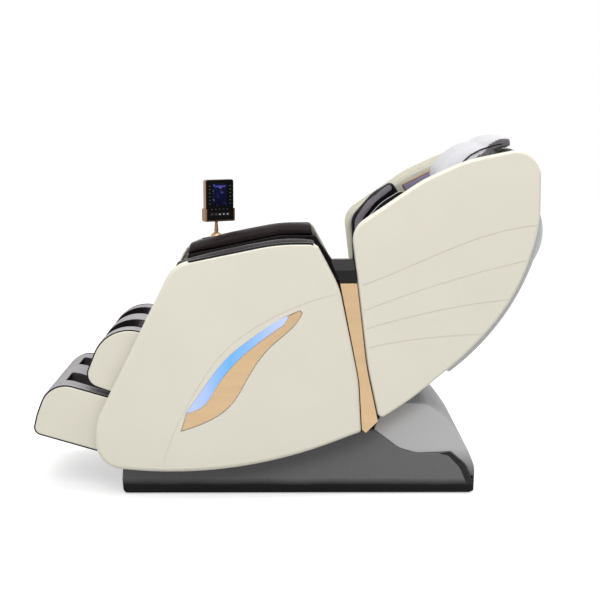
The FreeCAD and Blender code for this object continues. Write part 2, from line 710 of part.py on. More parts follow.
def arm_liner():
    """inner arm between the seat and the panel, with the forearm air cell's bay"""
    corners = [
        (LINER_LOW_FRONT, FRAME_TOP, 4), (LINER_LOW_FRONT, 575, 20), (LINER_FRONT, 640, 30),
        (LINER_FRONT, arm_top(LINER_FRONT) - PAD_THICK - GAP, 6),
        (-40, ARM_TOP - PAD_THICK - GAP, 0), (88, ARM_TOP - PAD_THICK - GAP, 10),
        (150, 688, 6), (LINER_TOP_BACK, 688, 4), (226, 470, 200), (236, FRAME_TOP, 4),
    ]
    y0 = -ARM_OUT + ARM_DEPTH + GAP
    outer = plate(corners, y0, -LINER_IN)
    inner = inset_plate(corners, WALL, y0 + WALL, -LINER_IN - WALL)
    bay = plate(BAY_CORNERS, -LINER_IN - WALL - 1, -LINER_IN + 1)
    return outer.cut(inner).cut(bay)


def arm_air_cell():
    return inset_plate(BAY_CORNERS, GAP, -LINER_IN - WALL - 20, -LINER_IN - 1)


def pillar_trim():
    y0 = -PILLAR_OUT
    body = plate(PILLAR_OUTLINE, y0, -ARM_OUT + ARM_DEPTH)
    return round_rim(body, y0, 1.5)


def corner_block():
    """block behind the sitter's left elbow, its outer top corner cut off at a slope"""
    body = plate(CORNER_BLOCK_OUTLINE, -SHELL_OUT, -LINER_IN - 30)
    outer = -SHELL_OUT - 1
    corners = [V(100, outer, 728), V(100, outer, 800), V(100, outer + 62, 800), V(100, outer + 62, 757)]
    wedge = Part.Face(Part.makePolygon(corners + [corners[0]])).extrude(V(130, 0, 0))
    return body.cut(wedge)


SHELL_CREASES = [
    [(222, 681), (412, 759), (529, 808), (762, 866)],
    [(229, 602), (395, 663), (508, 699), (742, 760)],
    [(238, 545), (441, 599), (686, 637)],
    [(243, 485), (351, 507), (465, 520), (600, 529)],
]


def back_shell():
    y0 = -SHELL_OUT
    outer = plate(SHELL_OUTLINE, y0, y0 + SHELL_DEPTH)
    outer = round_rim(outer, y0, 9)
    inner = inset_plate(SHELL_OUTLINE, WALL, y0 + WALL, y0 + SHELL_DEPTH - WALL)
    shell = outer.cut(inner)
    for points in SHELL_CREASES:
        shell = shell.cut(crease(points, 2.2, y0, 2.0))
    return shell


def cover_section(y, drop, wall):
    """rear line of the backrest at one width, closed along a straight front line"""
    half = SHELL_OUT - SHELL_DEPTH
    crown = COVER_CROWN * (1 - (y / half) ** 2)
    reach = crown - wall
    low = at(498 + reach * 0.2, 404 + wall, y)
    low_mid = at(652 + reach * 0.8, 560 - reach * 0.4, y)
    mid = at(756 + reach * 0.9, 757 - reach * 0.3, y)
    bulge = at(782 + reach, 838, y)
    shoulder = at(766 + reach, 916, y)
    top = at(748 + reach * 0.5, 1072 - wall, y)
    crest = at(714, 1084 - wall + reach * 0.3, y)
    front_low = back(low.x * T.x + low.z * T.z, 150 + drop, y)
    front_top = back(crest.x * T.x + crest.z * T.z - 4, 50 + drop, y)
    edges = [
        Part.Arc(low, low_mid, mid).toShape(),
        Part.Arc(mid, bulge, shoulder).toShape(),
        Part.LineSegment(shoulder, top).toShape(),
        Part.LineSegment(top, crest).toShape(),
        Part.LineSegment(crest, front_top).toShape(),
        Part.LineSegment(front_top, front_low).toShape(),
        Part.LineSegment(front_low, low).toShape(),
    ]
    return Part.Wire(edges)


def back_rear_cover():
    half = SHELL_OUT - SHELL_DEPTH - GAP
    widths = (-half, -half * 0.55, 0.0, half * 0.55, half)
    outer = loft([cover_section(y, 0.0, 0.0) for y in widths])
    inner_half = half - COVER_WALL
    inner_widths = (-inner_half, -inner_half * 0.55, 0.0, inner_half * 0.55, inner_half)
    inner = loft([cover_section(y, -60.0, COVER_WALL) for y in inner_widths])
    shell = outer.cut(inner)
    clearance = slab(at, 430, 600, 380, 452, -BASE_HALF - 6, BASE_HALF + 6)
    return shell.cut(clearance)


def back_cushion():
    def base(u):
        return CUSHION_S + CUSHION_THICK

    def top(u):
        return CUSHION_S + 6
    return cushion(back, BACK_T0, BACK_T1, base, top, 6, -9.0, CUSHION_HALF - 6, CUSHION_CROWN, 12.0)


def back_frame():
    pieces = []
    s0 = CUSHION_S + CUSHION_THICK + GAP
    pivot = V(BACK_PIVOT[0], 0, BACK_PIVOT[1])
    pivot_t = pivot.dot(T)
    pivot_s = pivot.dot(S)
    for side in (-1, 1):
        y0 = min(side * 240, side * 254)
        lug = [(pivot_t - 16, pivot_s + 16, 15), (pivot_t - 16, pivot_s - 16, 15),
               (BACK_T0 + 8, s0, 0), (BACK_T0 + 40, s0 + 30, 0)]
        pieces.append(plate(lug, y0, y0 + 14, back))
        pieces.append(slab(back, BACK_T0, BACK_T1 - 24, s0, s0 + 26, y0, y0 + 14))
        for t in (RAIL_T0 - 26, 846, RAIL_T1):
            pieces.append(slab(back, t, t + 26, s0, 166, y0, y0 + 14))
        for t in (BACK_T0 + 60, 900, BACK_T1 - 140):
            wing_y0 = min(side * 254, side * (SHELL_OUT - SHELL_DEPTH - GAP))
            wing_y1 = max(side * 254, side * (SHELL_OUT - SHELL_DEPTH - GAP))
            pieces.append(slab(back, t, t + 30, s0, s0 + 20, wing_y0, wing_y1))
    for t in (RAIL_T0 - 26, RAIL_T1):
        pieces.append(slab(back, t, t + 26, 92, 134, -254, 254))
    pieces.append(slab(back, 846, 872, 150, 166, -254, 254))
    bar = back(RAIL_T0 - 13, 113)
    pieces += clevis(RECLINE_EYE, 20, (bar.x, bar.z), False)
    frame = join(pieces)
    for side in (-1, 1):
        frame = frame.cut(rod_y(pivot.x, pivot.z, side * 247 - 10, side * 247 + 10, PIN_R + PIN_CLEAR))
    return frame


def massage_rails():
    rails = []
    for side in (-1, 1):
        y = side * MASSAGE_RAIL_Y
        rails.append(rod(back(RAIL_T0, RAILS_S, y), back(RAIL_T1, RAILS_S, y), RAIL_TUBE))
    return Part.makeCompound(rails)


def massage_carriage():
    t = CARRIAGE_T
    pieces = [slab(back, t - 45, t + 45, 118, 128, -134, 134),
              slab(back, t - 32, t + 32, 128, 147, -60, 60)]
    for side in (-1, 1):
        y = side * MASSAGE_RAIL_Y
        pieces.append(slab(back, t - 50, t + 50, RAILS_S - 18, RAILS_S + 18, y - 18, y + 18))
        y0 = min(side * 100, side * 112)
        pieces.append(slab(back, t - 16, t + 16, SWING_S - 14, 120, y0, y0 + 12))
    carriage = join(pieces)
    for side in (-1, 1):
        y = side * MASSAGE_RAIL_Y
        carriage = carriage.cut(rod(back(t - 60, RAILS_S, y), back(t + 60, RAILS_S, y), RAIL_TUBE + PIN_CLEAR))
    axle = back(t, SWING_S)
    return carriage.cut(rod_y(axle.x, axle.z, -113, 113, 8 + PIN_CLEAR))


def massage_arms():
    t = CARRIAGE_T
    axle = back(t, SWING_S)
    pieces = [rod_y(axle.x, axle.z, -112, 112, 8)]
    for side in (-1, 1):
        y0 = min(side * 46, side * 56)
        pin_y0 = min(side * 50, side * 92)
        outline = [(t - ROLLER_REACH - 11, ROLLER_S - 10, 9), (t - ROLLER_REACH + 14, ROLLER_S - 8, 12),
                   (t, ROLLER_S + 8, 60), (t + ROLLER_REACH - 14, ROLLER_S - 8, 12),
                   (t + ROLLER_REACH + 11, ROLLER_S - 10, 9), (t + ROLLER_REACH + 8, ROLLER_S + 10, 9),
                   (t + 14, 115, 12), (t - 14, 115, 12), (t - ROLLER_REACH - 8, ROLLER_S + 10, 9)]
        pieces.append(plate(outline, y0, y0 + 10, back))
        for reach in (-ROLLER_REACH, ROLLER_REACH):
            centre = back(t + reach, ROLLER_S)
            pieces.append(rod_y(centre.x, centre.z, pin_y0, pin_y0 + 42, 5))
    return join(pieces)


def massage_rollers(reach):
    """a pair of kneading rollers on one axis across the back"""
    centre = back(CARRIAGE_T + reach, ROLLER_S)
    rollers = []
    for side in (-1, 1):
        y0 = min(side * 60, side * 88)
        wheel = rod_y(centre.x, centre.z, y0, y0 + 28, ROLLER_R)
        wheel = wheel.makeFillet(7, [edge for edge in wheel.Edges if edge.Closed])
        rollers.append(wheel.cut(rod_y(centre.x, centre.z, y0 - 1, y0 + 29, 5 + PIN_CLEAR)))
    return Part.makeCompound(rollers)


def wing_liner():
    """padded inside of a wing, between the cushion and the cream shell"""
    y0 = -SHELL_OUT + SHELL_DEPTH + GAP
    whole = inset_plate(SHELL_OUTLINE, 14, y0, -WING_IN)
    front_half = slab(back, 480, 1400, -300, CUSHION_S + CUSHION_THICK, -400, 0)
    return round_rim(whole.common(front_half), -WING_IN, 5)


def shoulder_pod():
    body = plate(POD_OUTLINE, -WING_IN + GAP, -POD_IN)
    return round_rim(body, -POD_IN, 9)


def speaker():
    body = plate(SPEAKER_OUTLINE, -WING_IN + GAP, -WING_IN + 10)
    return round_rim(body, -WING_IN + 10, 2)


def pillow_section(y, share):
    """two-lobed head pillow: neck lobe below, head lobe that rolls over the top"""
    back_s = -3.6

    def point(t, s):
        return back(t, back_s + (s - back_s) * share if s < back_s else s, y)
    shrink = (1 - share) * 14
    p0 = point(1094 + shrink, back_s)
    p1 = point(1246, back_s)
    p2 = point(1264, -12)
    p3 = point(1312 - shrink, 42)
    p4 = point(1333 - shrink, 24)
    valley = point(1262, -56)
    p7 = point(1110 + shrink, -118)
    edges = [
        Part.LineSegment(p0, p1).toShape(),
        Part.LineSegment(p1, p2).toShape(),
        Part.Arc(p2, point(1290 - shrink * 0.5, 12), p3).toShape(),
        Part.LineSegment(p3, p4).toShape(),
        Part.Arc(p4, point(1308 - shrink * 0.5, -22), valley).toShape(),
        Part.Arc(valley, point(1207, -101), p7).toShape(),
        Part.Arc(p7, point(1074 + shrink, -78), p0).toShape(),
    ]
    return Part.Wire(edges)


def pillow():
    stations = ((-1.0, 0.35), (-0.93, 0.72), (-0.8, 0.92), (-0.4, 1.0), (0.0, 1.0), (0.4, 1.0),
                (0.8, 0.92), (0.93, 0.72), (1.0, 0.35))
    return loft([pillow_section(share * PILLOW_HALF, fill) for share, fill in stations])


def control_box():
    case = box(-186, -56, 62, 206, 250, FRAME_Z - GAP)
    inside = box(-183, -59, 65, 203, 253, FRAME_Z - 4)
    return case.cut(inside)


def air_pump():
    case = box(-82, 60, -150, -40, 60.3, 120)
    case = case.makeFillet(8, [edge for edge in case.Edges if edge.BoundBox.ZLength > 40])
    ports = [Part.makeCylinder(5, 16, V(60, y, 96), V(1, 0, 0)) for y in (-125, -105, -85, -65)]
    return join([case] + ports)


def calf_shell():
    body = plate(CALF_SHELL_OUTLINE, -LEG_PAD_HALF, LEG_PAD_HALF, leg)
    inner = inset_plate(CALF_SHELL_OUTLINE, 6, -LEG_PAD_HALF + 6, LEG_PAD_HALF - 6, leg)
    room = slab(leg, 44, CALF_END - 8, -100, 100, -300, 300)
    shell = body.cut(inner.common(room))
    tubes = []
    for side in (-1, 1):
        tubes.append(rod(leg(42, ROD_B, side * ROD_Y), leg(CALF_END, ROD_B, side * ROD_Y), 13))
    shell = join([shell] + tubes + clevis(LEG_EYE, 16, (leg(150, 0).x, leg(150, 0).z), False))
    for side in (-1, 1):
        shell = shell.cut(rod(leg(30, ROD_B, side * ROD_Y), leg(CALF_END + 1, ROD_B, side * ROD_Y),
                              ROD_R + PIN_CLEAR))
        slot_y0 = min(side * (LUG_IN - 3), side * (LUG_OUT + 3))
        shell = shell.cut(slab(leg, -80, 130, -90, 24, slot_y0, slot_y0 + LUG_OUT - LUG_IN + 6))
        pin_y = side * (LUG_IN + LUG_OUT) / 2
        shell = shell.cut(rod_y(KNEE[0], KNEE[1], pin_y - 32, pin_y + 32, PIN_R + PIN_CLEAR))
    return shell


def calf_pad():
    """two calf channels between three padded walls, with ribs that run down the leg"""
    pad = plate(CALF_PAD_OUTLINE, -LEG_PAD_HALF, LEG_PAD_HALF, leg)
    centre_b = CALF_FLOOR + WELL_HALF
    for side in (-1, 1):
        y = side * WELL_Y
        pad = pad.cut(rod(leg(-60, centre_b, y), leg(CALF_END + 20, centre_b, y), WELL_HALF))
        pad = pad.cut(slab(leg, -60, CALF_END + 20, centre_b, CALF_RIM + 40, y - WELL_HALF, y + WELL_HALF))
        for i in range(7):
            angle = math.radians(-165 + 25 * i)
            groove_y = y + WELL_HALF * math.cos(angle)
            groove_b = centre_b + WELL_HALF * math.sin(angle)
            pad = pad.cut(rod(leg(-60, groove_b, groove_y), leg(CALF_END + 20, groove_b, groove_y), 3.5))
    return pad


def calf_panel():
    body = plate(CALF_PANEL_OUTLINE, -LEG_HALF, -LEG_HALF + PANEL_THICK, leg)
    return round_rim(body, -LEG_HALF, 6)


def foot_block():
    """the foot unit's filling between its side panels, a little proud of them"""
    return plate(FOOT_BLOCK_OUTLINE, -LEG_PAD_HALF, LEG_PAD_HALF, leg)


def foot_pad():
    """two foot wells, open at the top, over a flat sole"""
    region = slab(leg, 100, FOOT_SHELL_A, FOOT_SHELL_B + GAP, 400, -300, 300)
    pad = foot_block().common(region)
    for side in (-1, 1):
        y = side * WELL_Y
        well = slab(leg, 150, FOOT_SOLE, FOOT_SHELL_B + 28, FOOT_RIM - FOOT_FRONT_WALL,
                    y - FOOT_WELL_HALF, y + FOOT_WELL_HALF)
        low = [edge for edge in well.Edges
               if edge.Length > 150 and abs((edge.CenterOfMass - leg(0, 0)).dot(A) - FOOT_SOLE) < 1]
        pad = pad.cut(well.makeFillet(22, low))
        axle = leg(SOLE_ROLLER_A, SOLE_ROLLER_B)
        pad = pad.cut(rod_y(axle.x, axle.z, y - 54, y + 54, SOLE_ROLLER_R + 2))
    return pad


def foot_shell():
    region = slab(leg, 100, FOOT_SHELL_A + GAP, FOOT_SHELL_B, 500, -300, 300)
    shell = foot_block().cut(region)
    axle = leg(SOLE_ROLLER_A, SOLE_ROLLER_B)
    pieces = [shell]
    for side in (-1, 1):
        pieces.append(rod(leg(60, ROD_B, side * ROD_Y), leg(FOOT_START + 20, ROD_B, side * ROD_Y), ROD_R))
    shell = join(pieces)
    for side in (-1, 1):
        y = side * WELL_Y
        shell = shell.cut(rod_y(axle.x, axle.z, y - 54, y + 54, SOLE_ROLLER_R + 2))
    return shell.cut(rod_y(axle.x, axle.z, -212, 212, SOLE_SHAFT_R + PIN_CLEAR))


def foot_panel():
    body = plate(FOOT_OUTLINE, -LEG_HALF, -LEG_HALF + PANEL_THICK, leg)
    return round_rim(body, -LEG_HALF, 6)


def sole_rollers():
    axle = leg(SOLE_ROLLER_A, SOLE_ROLLER_B)
    pieces = [rod_y(axle.x, axle.z, -211, 211, SOLE_SHAFT_R)]
    for side in (-1, 1):
        y = side * WELL_Y
        pieces.append(rod_y(axle.x, axle.z, y - 50, y + 50, SOLE_ROLLER_R - 4))
        for i in range(5):
            y0 = y - 50 + i * 22
            pieces.append(rod_y(axle.x, axle.z, y0, y0 + 12, SOLE_ROLLER_R))
    return join(pieces)


def turned(shape):
    """turn a piece of the hand control towards the sitter"""
    shape.rotate(V(STEM_X, REMOTE_Y, 0), V(0, 0, 1), REMOTE_TURN)
    return shape


def remote_base():
    flange = Part.makeCylinder(DOME_R - 2, 14, V(STEM_X, REMOTE_Y, REMOTE_SEAT))
    dome = Part.makeSphere(DOME_R, V(STEM_X, REMOTE_Y, REMOTE_SEAT + 12))
    upper = box(STEM_X - 60, STEM_X + 60, REMOTE_Y - 60, REMOTE_Y + 60, REMOTE_SEAT + 12, 1000)
    whole = join([flange, dome.common(upper)])
    return whole.cut(Part.makeCylinder(5 + PIN_CLEAR, 60, V(STEM_X, REMOTE_Y, REMOTE_SEAT + 10)))


def remote_cradle():
    """cup round the handset's foot on a slim stem that turns in the dome"""
    x0 = REMOTE_X - REMOTE_W / 2
    y0 = REMOTE_Y - REMOTE_D / 2
    z0 = REMOTE_BOTTOM
    edge = 5.0
    outer = box(x0 - edge, x0 + REMOTE_W + edge, y0 - edge, y0 + REMOTE_D + edge, z0 - 6, z0 + 40)
    outer = outer.makeFillet(6, [e for e in outer.Edges if abs(e.CenterOfMass.z - z0 - 40) > 1])
    inner = box(x0 - 0.4, x0 + REMOTE_W + 0.4, y0 - 0.4, y0 + REMOTE_D + 0.4, z0 - GAP, z0 + 60)
    window = box(x0 + 2, x0 + REMOTE_W - 2, y0 - 20, y0 + 4, z0, z0 + 60)
    cup = outer.cut(inner).cut(window)
    stem = Part.makeCone(8, 5, z0 - 4 - REMOTE_SEAT - 35, V(STEM_X, REMOTE_Y, REMOTE_SEAT + 35.3))
    pin = Part.makeCylinder(5, 30, V(STEM_X, REMOTE_Y, REMOTE_SEAT + 12))
    return turned(join([cup, stem, pin]))


def handset_box(x_in, z0, z1, y0, y1):
    left = REMOTE_X - REMOTE_W / 2 + x_in
    right = REMOTE_X + REMOTE_W / 2 - x_in
    front = REMOTE_Y - REMOTE_D / 2
    return box(left, right, front + y0, front + y1, REMOTE_BOTTOM + z0, REMOTE_BOTTOM + z1)


def remote_housing():
    body = handset_box(0, 0, REMOTE_H, 0, REMOTE_D)
    body = body.makeFillet(8, [e for e in body.Edges if e.BoundBox.YLength > REMOTE_D - 1])
    body = body.makeFillet(2, [e for e in body.Edges if e.BoundBox.YLength < 0.1])
    body = body.cut(handset_box(KEY_EDGE - 0.4, KEY_Z0 - 0.4, KEY_Z1 + 0.4, -1, 6))
    return turned(body.cut(handset_box(SCREEN_EDGE, SCREEN_Z0, REMOTE_H - SCREEN_EDGE, -1, 1.6)))


def remote_screen():
    return turned(handset_box(SCREEN_EDGE + 0.1, SCREEN_Z0 + 0.1, REMOTE_H - SCREEN_EDGE - 0.1, 0.1, 1.6))


def remote_keys():
    """row of five push keys under the screen, joined by their pad"""
    pieces = [handset_box(KEY_EDGE, KEY_Z0, KEY_Z1, 3, 4.4)]
    width = (REMOTE_W - 2 * KEY_EDGE) / 5
    for i in range(5):
        x = REMOTE_X - REMOTE_W / 2 + KEY_EDGE + width * i
        front = REMOTE_Y - REMOTE_D / 2
        key = box(x + 1, x + width - 1, front - 0.8, front + 3.5, REMOTE_BOTTOM + KEY_Z0 + 1,
                  REMOTE_BOTTOM + KEY_Z1 - 1)
        pieces.append(key)
    return turned(join(pieces))


def main():
    save("base_shroud", base_shroud())
    save("base_rear_cover", base_rear_cover())
    save("base_frame", base_frame())
    save("feet", feet())
    wheel = transport_wheel()
    save_sides("transport_wheel", wheel)
    save("power_inlet", power_inlet())
    save("power_switch", power_switch())
    save("glide_carriage", glide_carriage())
    jack_body, jack_rod = tilt_actuator()
    save("tilt_actuator_body", jack_body)
    save("tilt_actuator_rod", jack_rod)
    save("seat_frame", seat_frame())
    recline_body, recline_rod = line_actuator(RECLINE_EYE, RECLINE_WAY, RECLINE_LENGTH, 0.66, 100)
    save("recline_actuator_body", recline_body)
    save("recline_actuator_rod", recline_rod)
    leg_body, leg_rod = line_actuator(LEG_EYE, LEG_WAY * -1, LEG_LENGTH, 0.84, 64)
    save("leg_actuator_body", leg_body)
    save("leg_actuator_rod", leg_rod)
    save("control_box", control_box())
    save("air_pump", air_pump())
    save("seat_cushion", seat_cushion())
    save_sides("arm_panel", arm_panel(pad_space()))
    save("light_lenses", pair(light_lens()))
    save("swoosh_trims", pair(swoosh_trim()))
    pad = armrest_pad()
    save("armrest_pad_left", pad)
    seat = Part.makeCylinder(DOME_R + GAP, 100, V(STEM_X, REMOTE_Y, REMOTE_SEAT - GAP))
    save("armrest_pad_right", mirror(pad).cut(seat))
    save_sides("arm_liner", arm_liner())
    save("arm_air_cells", pair(arm_air_cell()))
    save_sides("pillar_trim", pillar_trim())
    save("corner_block", corner_block())
    save_sides("back_shell", back_shell())
    save("back_rear_cover", back_rear_cover())
    save("back_cushion", back_cushion())
    save("back_frame", back_frame())
    save("massage_rails", massage_rails())
    save("massage_carriage", massage_carriage())
    save("massage_arms", massage_arms())
    save("upper_massage_rollers", massage_rollers(ROLLER_REACH))
    save("lower_massage_rollers", massage_rollers(-ROLLER_REACH))
    save("wing_liners", pair(wing_liner()))
    save_sides("shoulder_pod", shoulder_pod())
    save("speakers", pair(speaker()))
    save("pillow", pillow())
    save("calf_shell", calf_shell())
    save("calf_pad", calf_pad())
    save_sides("calf_panel", calf_panel())
    save("foot_shell", foot_shell())
    save("foot_pad", foot_pad())
    save_sides("foot_panel", foot_panel())
    save("sole_rollers", sole_rollers())
    save("remote_base", remote_base())
    save("remote_cradle", remote_cradle())
    save("remote_housing", remote_housing())
    save("remote_screen", remote_screen())
    save("remote_keys", remote_keys())


main()
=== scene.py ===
# Massage chair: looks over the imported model, metres, same frame as the CAD.
# The chair faces -X, the sitter's left side is at -Y, Z = 0 is the floor.
import math

import bmesh
import bpy
from mathutils import Matrix, Vector, noise


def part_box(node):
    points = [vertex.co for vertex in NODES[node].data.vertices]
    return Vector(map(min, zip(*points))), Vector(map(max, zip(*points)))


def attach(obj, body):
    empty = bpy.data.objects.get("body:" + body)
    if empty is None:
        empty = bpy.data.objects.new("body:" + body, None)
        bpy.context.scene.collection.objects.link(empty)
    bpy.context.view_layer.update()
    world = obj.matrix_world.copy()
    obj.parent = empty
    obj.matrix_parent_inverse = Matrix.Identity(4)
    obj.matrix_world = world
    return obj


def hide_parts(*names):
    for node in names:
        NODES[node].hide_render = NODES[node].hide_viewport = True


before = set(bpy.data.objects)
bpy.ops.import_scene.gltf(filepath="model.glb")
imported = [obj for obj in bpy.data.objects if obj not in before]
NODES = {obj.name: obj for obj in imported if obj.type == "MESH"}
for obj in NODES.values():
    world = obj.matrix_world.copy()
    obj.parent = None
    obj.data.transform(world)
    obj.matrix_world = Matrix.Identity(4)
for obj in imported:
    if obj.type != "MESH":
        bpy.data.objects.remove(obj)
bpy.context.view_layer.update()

# Directions of the backrest and the leg rest, as the CAD has them
BACK_ANGLE = math.radians(59.0)
LEG_ANGLE = math.radians(70.0)
BACK_UP = Vector((math.cos(BACK_ANGLE), 0.0, math.sin(BACK_ANGLE)))
BACK_REAR = Vector((BACK_UP.z, 0.0, -BACK_UP.x))
LEG_DOWN = Vector((-math.cos(LEG_ANGLE), 0.0, -math.sin(LEG_ANGLE)))
LEG_FRONT = Vector((LEG_DOWN.z, 0.0, -LEG_DOWN.x))
KNEE = Vector((-0.385, 0.0, 0.480))

# Leg rest sizes
LEG_HALF = 0.300
CALF_WELL = (0.142, 0.0765)
FOOT_WELL = (0.142, 0.0665)
FOOT_WELL_FRONT = 0.2745
RIB_PITCH = 0.044

# Hand control
REMOTE_X = -0.253
REMOTE_Y = 0.335
STEM_X = -0.262
REMOTE_W = 0.108
REMOTE_H = 0.142
REMOTE_D = 0.024
REMOTE_BOTTOM = 0.829
REMOTE_TURN = math.radians(28.0)


def back(t, s, y=0.0):
    """point of the backrest: t up along it, s towards the rear"""
    return BACK_UP * t + BACK_REAR * s + Vector((0.0, y, 0.0))


def leg(a, b, y=0.0):
    """point of the leg rest: a down the leg from the knee pin, b towards the front"""
    return KNEE + LEG_DOWN * a + LEG_FRONT * b + Vector((0.0, y, 0.0))


def remote_place(u, v, depth):
    """point of the hand control: u across from its left edge, v up, depth behind its front"""
    point = Vector((REMOTE_X - REMOTE_W / 2 + u - STEM_X, -REMOTE_D / 2 + depth, 0.0))
    point.rotate(Matrix.Rotation(REMOTE_TURN, 3, "Z"))
    return Vector((STEM_X + point.x, REMOTE_Y + point.y, REMOTE_BOTTOM + v))


# Materials


class Finish:
    """one procedural material with shared coordinates and small helpers"""

    def __init__(self, name):
        self.material = bpy.data.materials.new(name)
        self.material.use_nodes = True
        self.nodes = self.material.node_tree.nodes
        self.links = self.material.node_tree.links
        self.shader = self.nodes["Principled BSDF"]
        self.place = self.nodes.new("ShaderNodeTexCoord").outputs["Object"]

    def set(self, **values):
        for socket, value in values.items():
            self.shader.inputs[socket.replace("_", " ")].default_value = value
        return self

    def link(self, output, socket):
        self.links.new(output, self.shader.inputs[socket])
        return self

    def noise(self, scale, detail=3.0, roughness=0.5):
        node = self.nodes.new("ShaderNodeTexNoise")
        node.inputs["Scale"].default_value = scale
        node.inputs["Detail"].default_value = detail
        node.inputs["Roughness"].default_value = roughness
        self.links.new(self.place, node.inputs["Vector"])
        return node.outputs["Fac"]

    def pores(self, scale):
        """distance to the edge of small cells"""
        node = self.nodes.new("ShaderNodeTexVoronoi")
        node.feature = "DISTANCE_TO_EDGE"
        node.inputs["Scale"].default_value = scale
        self.links.new(self.place, node.inputs["Vector"])
        return node.outputs["Distance"]

    def stretched(self, x, y, z):
        """the same coordinates scaled along each axis"""
        node = self.nodes.new("ShaderNodeMapping")
        node.inputs["Scale"].default_value = (x, y, z)
        self.links.new(self.place, node.inputs["Vector"])
        self.place = node.outputs["Vector"]
        return self

    def math(self, kind, a, b=None):
        node = self.nodes.new("ShaderNodeMath")
        node.operation = kind
        for index, value in enumerate((a, b)):
            if value is None:
                continue
            if isinstance(value, (int, float)):
                node.inputs[index].default_value = value
            else:
                self.links.new(value, node.inputs[index])
        return node.outputs["Value"]

    def remap(self, value, from_low, from_high, to_low, to_high):
        node = self.nodes.new("ShaderNodeMapRange")
        node.inputs["From Min"].default_value = from_low
        node.inputs["From Max"].default_value = from_high
        node.inputs["To Min"].default_value = to_low
        node.inputs["To Max"].default_value = to_high
        self.links.new(value, node.inputs["Value"])
        return node.outputs["Result"]

    def along(self, direction, origin=Vector((0.0, 0.0, 0.0))):
        """distance of the shaded point from origin along a direction"""
        node = self.nodes.new("ShaderNodeVectorMath")
        node.operation = "DOT_PRODUCT"
        node.inputs[1].default_value = direction
        self.links.new(self.place, node.inputs[0])
        return self.math("SUBTRACT", node.outputs["Value"], direction.dot(origin))

    def step(self, value, edge, soft):
        """0 below edge and 1 above it, over a soft width"""
        return self.remap(value, edge - soft, edge + soft, 0.0, 1.0)

    def between(self, share, first, second):
        """first colour where share is 0, second where it is 1"""
        node = self.nodes.new("ShaderNodeMix")
        node.data_type = "RGBA"
        self.links.new(share, node.inputs["Factor"])
        for socket, colour in ((node.inputs[6], first), (node.inputs[7], second)):
            if isinstance(colour, tuple):
                socket.default_value = (*colour, 1.0)
            else:
                self.links.new(colour, socket)
        return node.outputs[2]

    def ramp(self, value, *stops):
        node = self.nodes.new("ShaderNodeValToRGB")
        ramp = node.color_ramp
        while len(ramp.elements) < len(stops):
            ramp.elements.new(0.5)
        for element, (position, colour) in zip(ramp.elements, stops):
            element.position = position
            element.color = (*colour, 1.0)
        self.links.new(value, node.inputs["Fac"])
        return node.outputs["Color"]

    def bump(self, height, distance, strength, below=None):
        node = self.nodes.new("ShaderNodeBump")
        node.inputs["Distance"].default_value = distance
        node.inputs["Strength"].default_value = strength
        self.links.new(height, node.inputs["Height"])
        if below is not None:
            self.links.new(below, node.inputs["Normal"])
        return node.outputs["Normal"]


def tint(colour, share):
    return tuple(channel * share for channel in colour)


def moulded(name, colour, roughness, coat, texture_depth=0.00006, specular=0.5):
    """painted or moulded plastic: faint mottling, uneven gloss and orange peel"""
    finish = Finish(name)
    cloud = finish.noise(5.0, 2.0)
    finish.link(finish.ramp(cloud, (0.3, tint(colour, 0.97)), (0.7, colour)), "Base Color")
    finish.link(finish.remap(finish.noise(38.0), 0.3, 0.7, roughness * 0.88, roughness * 1.12), "Roughness")
    finish.link(finish.bump(finish.noise(420.0, 1.0), texture_depth, 0.5), "Normal")
    finish.set(Coat_Weight=coat, Coat_Roughness=0.12, Specular_IOR_Level=specular)
    return finish.material


def leather(name, colour, roughness=0.42, grain=620.0, sheen=0.15, specular=0.5):
    """soft leather: fine cell grain, broad wrinkles and high spots of wear"""
    finish = Finish(name)
    wear = finish.noise(9.0, 4.0, 0.6)
    finish.link(finish.ramp(wear, (0.35, tint(colour, 0.82)), (0.62, colour), (0.8, tint(colour, 1.25))),
                "Base Color")
    pores = finish.pores(grain)
    finish.link(finish.remap(finish.noise(60.0), 0.3, 0.7, roughness * 0.85, roughness * 1.2), "Roughness")
    broad = finish.bump(finish.noise(34.0, 3.0), 0.0006, 0.45)
    finish.link(finish.bump(finish.remap(pores, 0.0, 0.25, 0.0, 1.0), 0.00022, 0.55, broad), "Normal")
    finish.set(Sheen_Weight=sheen, Sheen_Roughness=0.4, Specular_IOR_Level=specular)
    return finish.material


def woven(name, colour, dark, threads, roughness=0.9):
    """cloth or speaker mesh: crossing threads from two waves"""
    finish = Finish(name)
    waves = []
    for direction in ("X", "Z"):
        wave = finish.nodes.new("ShaderNodeTexWave")
        wave.bands_direction = direction
        wave.inputs["Scale"].default_value = threads
        wave.inputs["Distortion"].default_value = 0.4
        finish.links.new(finish.place, wave.inputs["Vector"])
        waves.append(wave.outputs["Fac"])
    cloth = finish.math("MULTIPLY", waves[0], waves[1])
    finish.link(finish.ramp(cloth, (0.0, dark), (0.45, colour), (1.0, tint(colour, 1.12))), "Base Color")
    finish.link(finish.bump(cloth, 0.0005, 0.6, finish.bump(finish.noise(22.0, 3.0), 0.0008, 0.3)), "Normal")
    finish.set(Roughness=roughness, Sheen_Weight=0.3, Sheen_Roughness=0.5)
    return finish.material


def metal(name, colour, roughness, stretch=(1.0, 1.0, 1.0), metallic=1.0):
    """brushed or satin metal with fine streaks"""
    finish = Finish(name).stretched(*stretch)
    streaks = finish.noise(180.0, 2.0)
    finish.link(finish.ramp(finish.noise(7.0), (0.3, tint(colour, 0.93)), (0.7, colour)), "Base Color")
    finish.link(finish.remap(streaks, 0.3, 0.7, roughness * 0.8, roughness * 1.25), "Roughness")
    finish.link(finish.bump(streaks, 0.00004, 0.5), "Normal")
    finish.set(Metallic=metallic)
    return finish.material


